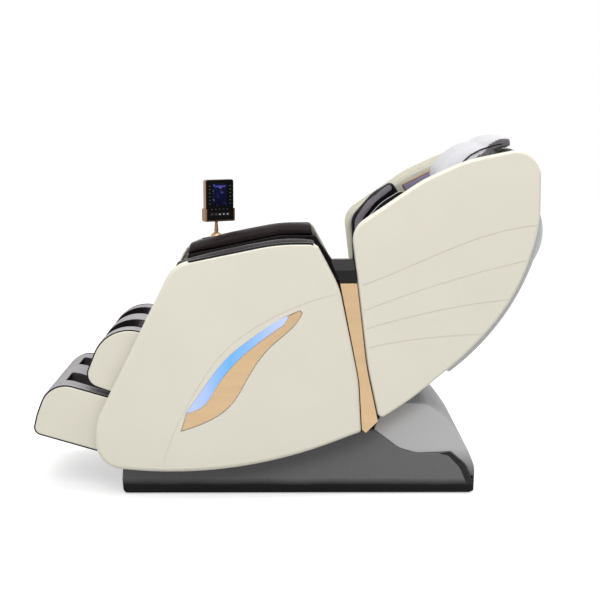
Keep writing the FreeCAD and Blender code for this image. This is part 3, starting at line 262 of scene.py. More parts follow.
def glow_lens():
    """milky lens, azure in the middle and pale violet at both ends"""
    finish = Finish("lens_glow")
    split = finish.nodes.new("ShaderNodeSeparateXYZ")
    finish.links.new(finish.place, split.inputs["Vector"])
    along = finish.remap(split.outputs["X"], -0.322, -0.006, 0.0, 1.0)
    wash = finish.math("ADD", along, finish.remap(finish.noise(14.0), 0.3, 0.7, -0.03, 0.03))
    colour = finish.ramp(wash, (0.0, (0.515, 0.610, 1.0)), (0.18, (0.40, 0.55, 1.0)),
                         (0.42, (0.127, 0.456, 1.0)), (0.60, (0.24, 0.50, 1.0)),
                         (0.82, (0.45, 0.58, 1.0)), (1.0, (0.56, 0.66, 1.0)))
    finish.link(colour, "Emission Color")
    finish.set(Base_Color=(0.02, 0.03, 0.05, 1.0), Emission_Strength=0.96, Roughness=0.3)
    return finish.material


def display():
    """dark blue screen that brightens upwards, with soft light patches"""
    finish = Finish("display_blue")
    blobs = finish.remap(finish.noise(75.0, 2.0), 0.52, 0.70, 0.0, 0.75)
    rise = finish.remap(finish.along(Vector((0.0, 0.0, 1.0))), 0.875, 0.955, 0.0, 0.45)
    colour = finish.ramp(finish.math("ADD", blobs, rise), (0.0, (0.001, 0.001, 0.004)),
                         (0.4, (0.003, 0.004, 0.030)), (0.75, (0.012, 0.018, 0.085)),
                         (1.0, (0.09, 0.14, 0.36)))
    finish.link(colour, "Emission Color")
    finish.set(Base_Color=(0.003, 0.003, 0.006, 1.0), Emission_Strength=1.0, Roughness=0.2,
               Specular_IOR_Level=0.2)
    return finish.material


def channel_leather(name, pale, dark, well, front=None):
    """pale padded walls with dark wells either side of the middle, closed at a front if given; along the
    wells, painted highlights on the rib crowns and painted shade between the ribs
    """
    finish = Finish(name)
    wear = finish.noise(9.0, 4.0, 0.6)
    wall = finish.ramp(wear, (0.3, tint(pale, 0.9)), (0.7, pale))
    width = finish.math("ABSOLUTE", finish.along(Vector((0.0, 1.0, 0.0))))
    middle = finish.math("ABSOLUTE", finish.math("SUBTRACT", width, well[0]))
    # painted light: a sine across each well puts a painted highlight on every rib's crown and painted shade
    # between the ribs
    rib_painted_highlight_and_shade = finish.math("SINE", finish.math("MULTIPLY", middle, 2.0 * math.pi / RIB_PITCH))
    rib_painted_light_and_wear = finish.math("ADD", rib_painted_highlight_and_shade, finish.remap(wear, 0.3, 0.7, -0.4, 0.4))
    # the wells' dark leather, lightened into painted highlights and darkened into painted shade by the rib
    # stripes, plus random wear
    lining = finish.ramp(finish.remap(rib_painted_light_and_wear, -1.2, 1.3, 0.0, 1.0), (0.0, tint(dark, 0.3)), (0.55, dark),
                         (1.0, tint(dark, 4.5)))
    outside = finish.step(middle, well[1], 0.002)
    if front is not None:
        ahead = finish.step(finish.along(LEG_FRONT, KNEE), front, 0.002)
        outside = finish.math("MAXIMUM", outside, ahead)
    finish.link(finish.between(outside, lining, wall), "Base Color")
    finish.link(finish.remap(outside, 0.0, 1.0, 0.40, 0.60), "Roughness")
    pores = finish.pores(520.0)
    broad = finish.bump(finish.noise(30.0, 3.0), 0.0006, 0.35)
    finish.link(finish.bump(finish.remap(pores, 0.0, 0.25, 0.0, 1.0), 0.00018, 0.5, broad), "Normal")
    finish.set(Specular_IOR_Level=0.0)
    return finish.material


def faded_gloss(name, low_colour, high_colour, low, high, roughness, specular):
    """glossy moulding that goes from one grey near the floor to another above"""
    finish = Finish(name)
    height = finish.along(Vector((0.0, 0.0, 1.0)))
    cloud = finish.remap(finish.noise(6.0), 0.3, 0.7, -0.002, 0.002)
    share = finish.step(finish.math("ADD", height, cloud), (low + high) / 2, (high - low) / 2)
    finish.link(finish.between(share, low_colour, high_colour), "Base Color")
    finish.link(finish.remap(finish.noise(40.0), 0.3, 0.7, roughness * 0.85, roughness * 1.15), "Roughness")
    finish.link(finish.bump(finish.noise(9.0, 1.0), 0.0001, 0.2), "Normal")
    finish.set(Specular_IOR_Level=specular)
    return finish.material


def handset_shell():
    """bronze housing whose front face is black gloss"""
    finish = Finish("handset_bronze")
    front = Vector((math.sin(REMOTE_TURN), -math.cos(REMOTE_TURN), 0.0))
    ahead = finish.along(front, remote_place(0.0, 0.0, 0.0015))
    face = finish.step(ahead, 0.0, 0.0003)
    cloud = finish.noise(60.0)
    bronze = finish.ramp(cloud, (0.3, (0.36, 0.215, 0.130)), (0.7, (0.42, 0.260, 0.165)))
    finish.link(finish.between(face, bronze, (0.006, 0.006, 0.006)), "Base Color")
    finish.set(Specular_IOR_Level=0.2)
    finish.link(finish.remap(face, 0.0, 1.0, 0.75, 0.0), "Metallic")
    finish.link(finish.remap(cloud, 0.3, 0.7, 0.22, 0.32), "Roughness")
    return finish.material


def lit_mark(name, colour, strength):
    finish = Finish(name)
    finish.link(finish.ramp(finish.noise(300.0), (0.3, tint(colour, 0.8)), (0.7, colour)), "Emission Color")
    finish.set(Base_Color=(*colour, 1.0), Emission_Strength=strength, Roughness=0.4)
    return finish.material


CREAM = moulded("cream_satin", (0.775, 0.742, 0.635), 0.34, 0.35)
# cream leather darker than the shell's cream: painted shade for the wings' inner faces; its grain is real
CREAM_LEATHER_PAINTED_SHADE = leather("cream_leather_painted_shade", (0.56, 0.545, 0.455), 0.5, 500.0, 0.05)
SILVER = moulded("silver_satin", (0.62, 0.64, 0.65), 0.32, 0.3)
BASE_GREY = faded_gloss("base_gloss_grey", (0.004, 0.004, 0.004), (0.160, 0.160, 0.162), 0.030, 0.052,
                        0.3, 0.12)
COVER_GREY = faded_gloss("cover_gloss_grey", (0.070, 0.070, 0.070), (0.56, 0.56, 0.565), 0.050, 0.150,
                         0.28, 0.0)
BLACK_GLOSS = moulded("black_gloss", (0.006, 0.006, 0.007), 0.16, 0.05, 0.00002, 0.2)
DARK_PLASTIC = moulded("dark_plastic", (0.022, 0.022, 0.024), 0.55, 0.0, 0.00015, 0.2)
RUBBER = moulded("rubber_black", (0.014, 0.014, 0.014), 0.75, 0.0, 0.0002, 0.2)
STEEL_PAINT = moulded("powder_coat_black", (0.026, 0.027, 0.029), 0.5, 0.0, 0.0002, 0.3)
GOLD = metal("rose_gold", (0.55, 0.385, 0.225), 0.36, (1.0, 1.0, 6.0), 0.75)
BRONZE = metal("dark_bronze", (0.30, 0.18, 0.11), 0.30, (1.0, 1.0, 4.0), 0.8)
BRIGHT_STEEL = metal("bright_steel", (0.62, 0.62, 0.63), 0.2, (1.0, 12.0, 1.0))
BLACK_LEATHER = leather("black_brown_leather", (0.009, 0.007, 0.007), 0.36, sheen=0.0, specular=0.1)
BROWN_LEATHER = leather("brown_pad_leather", (0.024, 0.017, 0.018), 0.3, sheen=0.0, specular=0.05)
PLUM_LEATHER = leather("plum_leather", (0.028, 0.018, 0.024), 0.38, sheen=0.05, specular=0.25)
CALF_LEATHER = channel_leather("calf_leather", (0.46, 0.445, 0.46), (0.030, 0.024, 0.028), CALF_WELL)
FOOT_LEATHER = channel_leather("foot_leather", (0.46, 0.445, 0.46), (0.022, 0.018, 0.020), FOOT_WELL,
                               FOOT_WELL_FRONT)
PILLOW_CLOTH = woven("pillow_cloth", (0.74, 0.74, 0.77), (0.58, 0.58, 0.61), 260.0)
# darker copy of the pillow cloth: painted shade for the pillow's faces turned down and back; the weave is
# real
PILLOW_PAINTED_SHADE = woven("pillow_cloth_painted_shade", (0.24, 0.23, 0.235), (0.10, 0.09, 0.10), 260.0)
POD_MESH = woven("pod_mesh", (0.30, 0.27, 0.31), (0.10, 0.09, 0.11), 190.0, 0.6)
SPEAKER_MESH = woven("speaker_mesh", (0.37, 0.34, 0.50), (0.12, 0.10, 0.17), 170.0, 0.6)
HANDSET = handset_shell()
LENS = glow_lens()
DISPLAY = display()
ICON_WHITE = lit_mark("icon_white", (0.45, 0.46, 0.48), 0.6)
ICON_DIM = lit_mark("icon_dim", (0.035, 0.035, 0.04), 0.6)
ICON_VIOLET = lit_mark("icon_violet", (0.045, 0.035, 0.22), 0.7)

NODE_FINISH = {
    "base_shroud": BASE_GREY, "base_rear_cover": COVER_GREY, "base_frame": STEEL_PAINT, "feet": RUBBER,
    "transport_wheel_left": RUBBER, "transport_wheel_right": RUBBER, "power_inlet": DARK_PLASTIC,
    "power_switch": BLACK_GLOSS, "glide_carriage": STEEL_PAINT, "tilt_actuator_body": DARK_PLASTIC,
    "tilt_actuator_rod": BRIGHT_STEEL, "seat_frame": STEEL_PAINT, "arm_panel_left": CREAM,
    "arm_panel_right": CREAM, "light_lenses": LENS, "swoosh_trims": GOLD, "pillar_trim_left": GOLD,
    "pillar_trim_right": GOLD, "corner_block": BLACK_GLOSS, "recline_actuator_body": DARK_PLASTIC,
    "recline_actuator_rod": BRIGHT_STEEL, "leg_actuator_body": DARK_PLASTIC,
    "leg_actuator_rod": BRIGHT_STEEL, "control_box": DARK_PLASTIC, "air_pump": DARK_PLASTIC,
    "back_shell_left": CREAM, "back_shell_right": CREAM, "back_rear_cover": SILVER,
    "back_frame": STEEL_PAINT, "massage_rails": BRIGHT_STEEL, "shoulder_pod_left": BLACK_GLOSS,
    "shoulder_pod_right": BLACK_GLOSS, "speakers": BRONZE, "massage_carriage": DARK_PLASTIC,
    "massage_arms": STEEL_PAINT, "upper_massage_rollers": RUBBER, "lower_massage_rollers": RUBBER,
    "calf_shell": DARK_PLASTIC, "calf_panel_left": CREAM, "calf_panel_right": CREAM,
    "foot_shell": DARK_PLASTIC, "foot_panel_left": CREAM, "foot_panel_right": CREAM,
    "sole_rollers": DARK_PLASTIC, "remote_base": GOLD, "remote_cradle": BRONZE, "remote_housing": HANDSET,
    "remote_keys": DARK_PLASTIC,
}


def dress_nodes():
    for name, finish in NODE_FINISH.items():
        mesh = NODES[name].data
        mesh.materials.clear()
        mesh.materials.append(finish)


# Building helpers


def new_object(name, mesh, finish, body):
    made = bpy.data.objects.new(name, mesh)
    bpy.context.scene.collection.objects.link(made)
    mesh.materials.append(finish)
    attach(made, body)
    return made


def smooth(piece):
    for face in piece.data.polygons:
        face.use_smooth = True
    return piece


def apply_modifiers(piece):
    depsgraph = bpy.context.evaluated_depsgraph_get()
    mesh = bpy.data.meshes.new_from_object(piece.evaluated_get(depsgraph))
    piece.modifiers.clear()
    piece.data = mesh
    return piece


def rounded(corners, steps=6):
    """outline points of corners (u, v, radius), each corner turned into an arc"""
    points = []
    count = len(corners)
    for i in range(count):
        here = Vector(corners[i][:2])
        before = (Vector(corners[i - 1][:2]) - here).normalized()
        after = (Vector(corners[(i + 1) % count][:2]) - here).normalized()
        half = before.angle(after) / 2
        radius = corners[i][2]
        reach = radius / math.tan(half)
        centre = here + (before + after).normalized() * (radius / math.sin(half))
        start = here + before * reach - centre
        end = here + after * reach - centre
        turn = start.angle_signed(end)
        for k in range(steps + 1):
            arm = start.copy()
            arm.rotate(Matrix.Rotation(-turn * k / steps, 2))
            points.append(centre + arm)
    return points


def inset(corners, distance):
    """the same corners drawn in by distance"""
    area = sum(corners[i - 1][0] * corners[i][1] - corners[i][0] * corners[i - 1][1]
               for i in range(len(corners)))
    turn = 1.0 if area > 0 else -1.0
    drawn = []
    for i in range(len(corners)):
        here = Vector(corners[i][:2])
        before = (here - Vector(corners[i - 1][:2])).normalized()
        after = (Vector(corners[(i + 1) % len(corners)][:2]) - here).normalized()
        normal = Vector((-before.y - after.y, before.x + after.x)).normalized() * turn
        scale = distance / max(0.3, math.cos(before.angle(after) / 2))
        drawn.append((*(here + normal * scale), max(corners[i][2] - distance, 0.001)))
    return drawn


def plate(name, outline, y0, y1, finish, body, edge=0.001):
    """flat piece of an outline (x, z) with rounded rims, between two widths"""
    shape = bmesh.new()
    face = shape.faces.new([shape.verts.new((x, y0, z)) for x, z in outline])
    raised = bmesh.ops.extrude_face_region(shape, geom=[face])
    for vert in [item for item in raised["geom"] if isinstance(item, bmesh.types.BMVert)]:
        vert.co.y = y1
    bmesh.ops.recalc_face_normals(shape, faces=shape.faces)
    mesh = bpy.data.meshes.new(name)
    shape.to_mesh(mesh)
    shape.free()
    piece = new_object(name, mesh, finish, body)
    bevel = piece.modifiers.new("rim", "BEVEL")
    bevel.width = edge
    bevel.segments = 2
    bevel.limit_method = "ANGLE"
    return smooth_by_angle(apply_modifiers(piece))


def smooth_by_angle(piece, angle=0.6):
    shape = bmesh.new()
    shape.from_mesh(piece.data)
    for face in shape.faces:
        face.smooth = True
    for edge in shape.edges:
        if len(edge.link_faces) == 2 and edge.calc_face_angle() > angle:
            edge.smooth = False
    shape.to_mesh(piece.data)
    shape.free()
    return piece


def cord_line(name, points, radius, finish, body, closed=False):
    """thin piping along points, as a mesh"""
    curve = bpy.data.curves.new(name, "CURVE")
    curve.dimensions = "3D"
    curve.bevel_depth = radius
    curve.bevel_resolution = 2
    curve.use_fill_caps = True
    spline = curve.splines.new("POLY")
    spline.points.add(len(points) - 1)
    for point, place in zip(spline.points, points):
        point.co = (*place, 1.0)
    spline.use_cyclic_u = closed
    holder = bpy.data.objects.new(name, curve)
    bpy.context.scene.collection.objects.link(holder)
    depsgraph = bpy.context.evaluated_depsgraph_get()
    mesh = bpy.data.meshes.new_from_object(holder.evaluated_get(depsgraph))
    bpy.data.objects.remove(holder)
    return smooth(new_object(name, mesh, finish, body))


# Soft pieces


PUFF_STEPS = 16


def soft_copy(name, node, body, finish, voxel, pressure, cap, shrink, pinned=None, relax=4):
    """copy of a soft CAD solid, remeshed and relaxed, and blown up as cloth where cap leaves it room"""
    mesh = NODES[node].data.copy()
    mesh.name = name
    mesh.materials.clear()
    piece = new_object(name, mesh, finish, body)
    remesh = piece.modifiers.new("even", "REMESH")
    remesh.mode = "VOXEL"
    remesh.voxel_size = voxel
    even = piece.modifiers.new("relax", "SMOOTH")
    even.factor = 0.5
    even.iterations = relax
    apply_modifiers(piece)
    normals = [vert.normal.copy() for vert in piece.data.vertices]
    for vert, normal in zip(piece.data.vertices, normals):
        vert.co -= normal * shrink
    if cap > 0.0:
        inflate(piece, pressure, cap, pinned)
    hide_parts(node)
    return smooth(piece)


def inflate(piece, pressure, cap, pinned):
    """blow the piece up as closed cloth, no point moving further than cap"""
    before = [vert.co.copy() for vert in piece.data.vertices]
    cloth = piece.modifiers.new("puff", "CLOTH")
    cloth.settings.use_pressure = True
    cloth.settings.uniform_pressure_force = pressure
    cloth.settings.effector_weights.gravity = 0.0
    cloth.settings.quality = 4
    cloth.settings.tension_stiffness = 25.0
    cloth.settings.compression_stiffness = 25.0
    if pinned is not None:
        group = piece.vertex_groups.new(name="held")
        held = [vert.index for vert in piece.data.vertices if pinned(vert.co)]
        group.add(held, 1.0, "REPLACE")
        cloth.settings.vertex_group_mass = "held"
    cloth.point_cache.frame_start = 1
    cloth.point_cache.frame_end = PUFF_STEPS
    scene = bpy.context.scene
    for number in range(1, PUFF_STEPS + 1):
        scene.frame_set(number)
    apply_modifiers(piece)
    scene.frame_set(1)
    for vert, rest in zip(piece.data.vertices, before):
        moved = vert.co - rest
        if moved.length > cap:
            vert.co = rest + moved * (cap / moved.length)


def press(piece, depth_at):
    """push points in along their normals by a depth worked out from their place"""
    normals = [vert.normal.copy() for vert in piece.data.vertices]
    for vert, normal in zip(piece.data.vertices, normals):
        vert.co -= normal * depth_at(vert.co, normal)
    piece.data.update()


def groove(distance, width, depth):
    """depth of a seam at a distance from its line"""
    return depth * math.exp(-((distance / width) ** 2))


def paint_faces(piece, second, chooser):
    """give the faces that chooser picks the second material"""
    piece.data.materials.append(second)
    for face in piece.data.polygons:
        if chooser(face.normal):
            face.material_index = 1


def wrinkles(place, scale, depth):
    return depth * noise.noise(place * scale)


def seat_cushion():
    low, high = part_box("seat_cushion")
    piece = soft_copy("seat_cushion_soft", "seat_cushion", "seat", BLACK_LEATHER,
                      0.007, 4.0, 0.008, 0.006, lambda p: p.z < low.z + 0.02)

    def depth(place, normal):
        seam = 0.0
        if normal.z > 0.4:
            for line in (-0.125, 0.125):
                seam += groove(place.y - line, 0.006, 0.008)
            for share in (0.26, 0.50, 0.75):
                seam += groove(place.x - (low.x + (high.x - low.x) * share), 0.007, 0.010)
        return seam + wrinkles(place, 14.0, 0.0015)
    press(piece, depth)


def back_cushion():
    piece = soft_copy("back_cushion_soft", "back_cushion", "back", BLACK_LEATHER,
                      0.007, 4.0, 0.006, 0.005, lambda p: p.dot(BACK_REAR) > 0.044)

    def depth(place, normal):
        seam = 0.0
        if normal.dot(BACK_REAR) < -0.3:
            for line in (-0.14, 0.14):
                seam += groove(place.y - line, 0.006, 0.007)
        return seam + wrinkles(place, 12.0, 0.0015)
    press(piece, depth)


PILLOW_SEAM = [(1.100, -0.078), (1.168, -0.074), (1.217, -0.060), (1.250, -0.040), (1.285, -0.010),
               (1.316, 0.028)]
PILLOW_SEAM_Y = 0.152
WELT_RADIUS = 0.0022


def pillow():
    piece = soft_copy("pillow_soft", "pillow", "pillow", PILLOW_CLOTH,
                      0.005, 3.0, 0.004, 0.002)
    press(piece, lambda place, normal: wrinkles(place, 22.0, 0.0012))
    # faces turned down and back get the darker cloth: painted shade under the pillow's lobes
    paint_faces(piece, PILLOW_PAINTED_SHADE, lambda normal: normal.dot(BACK_REAR) > -0.25 and normal.z < 0.5)
    for side, word in ((-1, "left"), (1, "right")):
        seam = [back(t, s, side * PILLOW_SEAM_Y) for t, s in PILLOW_SEAM]
        cord_line("pillow_seam_" + word, seam, WELT_RADIUS, BLACK_LEATHER, "pillow")


def armrest_pad(side):
    name = "armrest_pad_left" if side < 0 else "armrest_pad_right"
    piece = soft_copy(name + "_soft", name, "seat", BROWN_LEATHER,
                      0.004, 2.0, 0.002, 0.001)
    press(piece, lambda place, normal: wrinkles(place, 16.0, 0.0006))


def arm_liner(side):
    name = "arm_liner_left" if side < 0 else "arm_liner_right"
    piece = soft_copy(name + "_soft", name, "seat", BLACK_LEATHER, 0.005, 0.0, 0.0, 0.0)
    press(piece, lambda place, normal: wrinkles(place, 18.0, 0.0006))


def air_cells():
    piece = soft_copy("arm_air_cells_soft", "arm_air_cells", "seat", PLUM_LEATHER,
                      0.005, 4.0, 0.006, 0.003)

    def depth(place, normal):
        if abs(normal.y) < 0.4:
            return 0.0
        return sum(groove(place.x - line, 0.006, 0.006) for line in (-0.17, -0.09, -0.01))
    press(piece, depth)


def wing_liners():
    # the wing liners take the darker cream: painted shade on the wings' inner faces
    piece = soft_copy("wing_liners_soft", "wing_liners", "back", CREAM_LEATHER_PAINTED_SHADE,
                      0.006, 0.0, 0.0, 0.0)
    press(piece, lambda place, normal: wrinkles(place, 10.0, 0.0006))


def leg_pad(name, body, finish):
    """padded part of the leg rest, pale on its walls and dark in its wells"""
    piece = soft_copy(name + "_soft", name, body, finish,
                      0.004, 0.0, 0.0, 0.0005, relax=2)
    press(piece, lambda place, normal: wrinkles(place, 20.0, 0.0006))


# Trim pieces


POD_STRIP = [(0.228, 0.700, 0.006), (0.224, 0.838, 0.060), (0.268, 0.902, 0.120), (0.346, 0.962, 0.010),
             (0.356, 0.944, 0.010), (0.296, 0.898, 0.120), (0.246, 0.834, 0.070), (0.240, 0.700, 0.005)]
POD_STRIP_Y = (0.234, 0.2305)
SPEAKER_OUTLINE = [(0.388, 0.958, 0.005), (0.518, 1.022, 0.005), (0.530, 0.988, 0.005),
                   (0.408, 0.926, 0.005)]
SPEAKER_RIM = 0.005
SPEAKER_Y = (0.2535, 0.2510)


def wing_inserts():
    """mesh panels on the shoulder pods and in the speakers"""
    for side, word in ((-1, "left"), (1, "right")):
        y0, y1 = (side * y for y in POD_STRIP_Y)
        plate("pod_insert_" + word, rounded(POD_STRIP), y0, y1, POD_MESH, "back")
        y0, y1 = (side * y for y in SPEAKER_Y)
        outline = rounded(inset(SPEAKER_OUTLINE, SPEAKER_RIM), 3)
        plate("speaker_insert_" + word, outline, y0, y1, SPEAKER_MESH, "back")


ARM_EDGE = [(-0.610, 0.112, 0.088), (-0.608, 0.252, 0.140), (-0.360, 0.750, 0.100), (-0.040, 0.816, 0.600),
            (0.078, 0.816, 0.034), (0.152, 0.679, 0.250), (0.212, 0.385, 0.480), (0.221, 0.222, 0.010),
            (-0.178, 0.070, 1.400)]
LIP_FRONT = -0.316
LIP_REAR = 0.072
LIP_TAPER = 0.020
LIP_DEPTH = 0.021
LIP_RISE = 0.0008
LIP_Y = (0.3667, 0.3785)


def upper_stretch(outline, front, rear):
    """upper part of a closed outline, cut exactly at a front and a rear x"""
    line = []
    for here, there in zip(outline, outline[1:] + outline[:1]):
        if there.x <= here.x:
            continue
        for edge in (front, rear):
            if here.x < edge < there.x:
                line.append(here.lerp(there, (edge - here.x) / (there.x - here.x)))
        if front <= there.x <= rear:
            line.append(there.copy())
    middle = (min(p.y for p in outline) + max(p.y for p in outline)) / 2
    return sorted((p for p in line if p.y > middle), key=lambda p: p.x)


def arm_lips():
    """thin black lip along the upper rim of each arm panel, tapered in front"""
    over = upper_stretch(rounded(inset(ARM_EDGE, -LIP_RISE), 10), LIP_FRONT, LIP_REAR)
    under = upper_stretch(rounded(inset(ARM_EDGE, LIP_DEPTH), 10), LIP_FRONT + LIP_TAPER, LIP_REAR)
    for side, word in ((-1, "left"), (1, "right")):
        y0, y1 = (side * y for y in LIP_Y)
        plate("arm_lip_" + word, over + under[::-1], y0, y1, BLACK_GLOSS, "seat", 0.0008)


CALF_EDGE = [(0.126, -0.042, 0.040), (0.198, 0.010, 0.018), (0.198, 0.213, 0.042), (-0.014, 0.206, 0.118),
             (-0.014, 0.044, 0.010)]
FOOT_EDGE = [(0.212, 0.038, 0.016), (0.230, 0.315, 0.080), (0.345, 0.317, 0.260), (0.406, 0.310, 0.024),
             (0.388, 0.038, 0.016)]
FOOT_WELT = (0.255, 0.2975)
FOOT_WELT_HALF = 0.283
FOOT_SIDE_RADIUS = 0.0026
WELT_INSIDE = 0.003


def piping():
    """black welt round each side panel of the leg rest and across the foot unit's front"""
    width = LEG_HALF - WELT_INSIDE
    for side, word in ((-1, "left"), (1, "right")):
        calf_line = [leg(a, b, side * width) for a, b in rounded(CALF_EDGE, 10)]
        cord_line("calf_welt_" + word, calf_line, WELT_RADIUS, BLACK_LEATHER, "calf", True)
        foot_line = [leg(a, b, side * width) for a, b in rounded(FOOT_EDGE, 10)]
        cord_line("foot_welt_" + word, foot_line, FOOT_SIDE_RADIUS, BLACK_LEATHER, "foot",
                  True)
    across = [leg(*FOOT_WELT, y) for y in (-FOOT_WELT_HALF, FOOT_WELT_HALF)]
    cord_line("foot_welt_front", across, WELT_RADIUS, BLACK_LEATHER, "foot")


BRIDGE = [(0.192, 0.402, 0.001), (0.232, 0.404, 0.080), (0.300, 0.390, 0.100), (0.350, 0.366, 0.004),
          (0.346, 0.358, 0.004), (0.297, 0.381, 0.100), (0.230, 0.394, 0.080), (0.192, 0.392, 0.001)]
BRIDGE_HALF = 0.236


def seat_bridge():
    """padded leather flap from the seat's rear under the back cushion"""
    piece = plate("seat_bridge", rounded(BRIDGE), -BRIDGE_HALF, BRIDGE_HALF, BLACK_LEATHER, "seat",
                  0.003)


BASE_BAND = [(0.470, 0.1325, 0.001), (0.510, 0.1365, 0.006), (0.558, 0.0955, 0.060),
             (0.5825, 0.036, 0.004), (0.572, 0.026, 0.002), (0.562, 0.036, 0.010), (0.542, 0.084, 0.060),
             (0.504, 0.1255, 0.030)]
BASE_BAND_Y = (0.286, 0.2904)
BASE_TAIL = [(0.580, 0.0045, 0.001), (0.5865, 0.012, 0.006), (0.5878, 0.0575, 0.001),
             (0.580, 0.0575, 0.001)]
BASE_TAIL_HALF = 0.287


def base_bands():
    """black strip between the base's side and its rear cover, and along the cover's foot"""
    plate("base_tail", rounded(BASE_TAIL), -BASE_TAIL_HALF, BASE_TAIL_HALF, BLACK_GLOSS, "base")
    for side, word in ((-1, "left"), (1, "right")):
        y0, y1 = (side * y for y in BASE_BAND_Y)
        plate("base_band_" + word, rounded(BASE_BAND), y0, y1, BLACK_GLOSS, "base")


# Hand control's front: distances across from its left edge and up from its bottom
GLASS_EDGE = 0.0035
GLASS_LOW = 0.031
GLASS_DEPTH = (-0.0003, 0.0016)
DISPLAY_ACROSS = (0.027, 0.081)
DISPLAY_UP = (0.050, REMOTE_H - 0.016)
BAR_ACROSS = (0.033, 0.075)
BAR_UP = (REMOTE_H - 0.026, REMOTE_H - 0.021)
MARK_ROWS = 6
MARK_PITCH = 0.0125
LAMPS = 5
LAMP_PITCH = 0.0152
PRINT_DEPTH = (-0.0007, -0.0003)
PRINT_RADIUS = 0.0012


def remote_tile(name, across, up, depth, radius, finish, body="handset"):
    """rounded tile on the hand control's front"""
    u0, u1 = across
    v0, v1 = up
    outline = rounded([(u0, v0, radius), (u1, v0, radius), (u1, v1, radius), (u0, v1, radius)], 4)
    shape = bmesh.new()
    fore = [shape.verts.new(remote_place(u, v, depth[0])) for u, v in outline]
    aft = [shape.verts.new(remote_place(u, v, depth[1])) for u, v in outline]
    shape.faces.new(fore)
    shape.faces.new(list(reversed(aft)))
    count = len(outline)
    for i in range(count):
        shape.faces.new((fore[i], aft[i], aft[(i + 1) % count], fore[(i + 1) % count]))
    bmesh.ops.recalc_face_normals(shape, faces=shape.faces)
    mesh = bpy.data.meshes.new(name)
    shape.to_mesh(mesh)
    shape.free()
    return smooth_by_angle(new_object(name, mesh, finish, body))


def remote_front():
    """black glass with a screen, dim marks in two columns, a row of lamps and a row of key marks"""
    glass_across = (GLASS_EDGE, REMOTE_W - GLASS_EDGE)
    glass_up = (GLASS_LOW, REMOTE_H - GLASS_EDGE)
    glass = remote_tile("remote_glass", glass_across, glass_up, GLASS_DEPTH, 0.006, BLACK_GLOSS)
    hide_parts("remote_screen")
    remote_tile("remote_display", DISPLAY_ACROSS, DISPLAY_UP, (-0.0007, 0.0002), 0.002, DISPLAY)
    remote_tile("remote_display_bar", BAR_ACROSS, BAR_UP, (-0.0009, -0.0006), 0.001, ICON_VIOLET)
    for row in range(MARK_ROWS):
        v = 0.056 + row * MARK_PITCH
        for u in (0.011, 0.091):
            name = "remote_mark_%02d_%03d" % (row, round(u * 1000))
            remote_tile(name, (u, u + 0.007), (v, v + 0.003), PRINT_DEPTH, PRINT_RADIUS, ICON_DIM)
    for i in range(LAMPS):
        u = 0.0195 + i * LAMP_PITCH
        remote_tile("remote_lamp_%d" % i, (u, u + 0.006), (0.036, 0.039), PRINT_DEPTH, PRINT_RADIUS, ICON_DIM)
        finish = ICON_WHITE if i > 1 else ICON_DIM
        remote_tile("key_mark_%d" % i, (u + 0.001, u + 0.0055), (0.018, 0.0215), (-0.0012, -0.0007), 0.001,
                    finish, "keys")


# Studio


def camera():
    """the photograph's camera, fitted to the chair's parallel edges"""
    place = Vector((0.0, -4.790, 1.246))
    pitch = math.radians(7.836)
    yaw = math.radians(0.3925)
    forward = Vector((math.sin(yaw) * math.cos(pitch), math.cos(yaw) * math.cos(pitch), -math.sin(pitch)))
    right = Vector((math.cos(yaw), -math.sin(yaw), 0.0))
    upward = right.cross(forward)
    data = bpy.data.cameras.new("camera")
    data.lens = 86.76
    data.sensor_width = 36.0
    made = bpy.data.objects.new("camera", data)
    turn = Matrix((right, upward, -forward)).transposed()
    made.matrix_world = Matrix.Translation(place) @ turn.to_4x4()
    bpy.context.scene.collection.objects.link(made)
    bpy.context.scene.camera = made


def lamp(name, place, target, size, power, colour=(1.0, 1.0, 1.0)):
    data = bpy.data.lights.new(name, "AREA")
    data.shape = "RECTANGLE"
    data.size, data.size_y = size
    data.energy = power
    data.color = colour
    made = bpy.data.objects.new(name, data)
    aim = Vector(target) - Vector(place)
    made.rotation_euler = aim.to_track_quat("-Z", "Y").to_euler()
    made.location = place
    bpy.context.scene.collection.objects.link(made)


def direct_rays(nodes, links):
    """1 for rays that show the surroundings: from the camera, a reflection or through glass"""
    rays = nodes.new("ShaderNodeLightPath")
    total = rays.outputs["Is Camera Ray"]
    for kind in ("Is Glossy Ray", "Is Transmission Ray"):
        larger = nodes.new("ShaderNodeMath")
        larger.operation = "MAXIMUM"
        links.new(total, larger.inputs[0])
        links.new(rays.outputs[kind], larger.inputs[1])
        total = larger.outputs["Value"]
    return total


def backdrop():
    """white surroundings for the camera and for reflections, softer grey as light"""
    world = bpy.data.worlds.new("studio")
    bpy.context.scene.world = world
    world.use_nodes = True
    nodes = world.node_tree.nodes
    links = world.node_tree.links
    shade = nodes["Background"]
    shade.inputs["Color"].default_value = (1.0, 0.99, 0.98, 1.0)
    shade.inputs["Strength"].default_value = 0.58
    seen = nodes.new("ShaderNodeBackground")
    seen.inputs["Color"].default_value = (1.0, 1.0, 1.0, 1.0)
    seen.inputs["Strength"].default_value = 1.0
    mix = nodes.new("ShaderNodeMixShader")
    links.new(direct_rays(nodes, links), mix.inputs["Fac"])
    links.new(shade.outputs["Background"], mix.inputs[1])
    links.new(seen.outputs["Background"], mix.inputs[2])
    links.new(mix.outputs["Shader"], nodes["World Output"].inputs["Surface"])


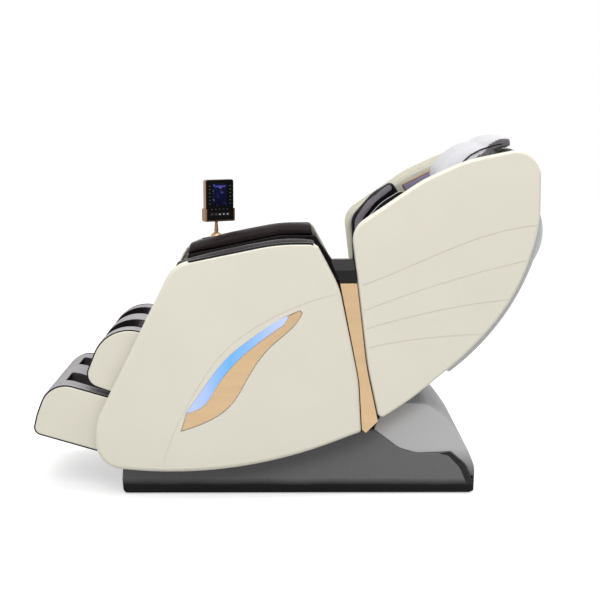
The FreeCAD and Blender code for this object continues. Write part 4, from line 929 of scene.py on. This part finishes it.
def floor():
    """pale floor that takes the chair's soft shadow and fades into the backdrop"""
    material = bpy.data.materials.new("floor_white")
    material.use_nodes = True
    nodes = material.node_tree.nodes
    links = material.node_tree.links
    matt = nodes["Principled BSDF"]
    matt.inputs["Base Color"].default_value = (0.90, 0.90, 0.90, 1.0)
    matt.inputs["Roughness"].default_value = 0.9
    glow = nodes.new("ShaderNodeEmission")
    glow.inputs["Color"].default_value = (1.0, 1.0, 1.0, 1.0)
    glow.inputs["Strength"].default_value = 0.50
    add = nodes.new("ShaderNodeAddShader")
    bounce = nodes.new("ShaderNodeBsdfDiffuse")
    bounce.inputs["Color"].default_value = (0.45, 0.45, 0.45, 1.0)
    mix = nodes.new("ShaderNodeMixShader")
    links.new(matt.outputs["BSDF"], add.inputs[0])
    links.new(glow.outputs["Emission"], add.inputs[1])
    links.new(direct_rays(nodes, links), mix.inputs["Fac"])
    links.new(bounce.outputs["BSDF"], mix.inputs[1])
    links.new(add.outputs["Shader"], mix.inputs[2])
    links.new(mix.outputs["Shader"], nodes["Material Output"].inputs["Surface"])
    shape = bmesh.new()
    bmesh.ops.create_grid(shape, x_segments=1, y_segments=1, size=14.0)
    mesh = bpy.data.meshes.new("floor")
    shape.to_mesh(mesh)
    shape.free()
    mesh.materials.append(material)
    made = bpy.data.objects.new("floor", mesh)
    bpy.context.scene.collection.objects.link(made)


def studio():
    backdrop()
    floor()
    lamp("overhead", (0.2, -0.6, 3.6), (0.0, 0.0, 0.5), (3.2, 2.6), 48.0)
    lamp("camera_side", (-0.6, -4.2, 3.3), (0.0, 0.0, 0.7), (3.0, 2.0), 96.0)
    lamp("rear", (2.6, 1.4, 2.0), (0.2, 0.0, 0.7), (1.6, 1.6), 26.0, (0.96, 0.98, 1.0))
    scene = bpy.context.scene
    scene.view_settings.view_transform = "Standard"
    scene.view_settings.look = "None"


def main():
    camera()
    studio()
    dress_nodes()
    seat_cushion()
    back_cushion()
    pillow()
    for side in (-1, 1):
        armrest_pad(side)
        arm_liner(side)
    air_cells()
    wing_liners()
    leg_pad("calf_pad", "calf", CALF_LEATHER)
    leg_pad("foot_pad", "foot", FOOT_LEATHER)
    wing_inserts()
    piping()
    base_bands()
    arm_lips()
    seat_bridge()
    remote_front()


main()
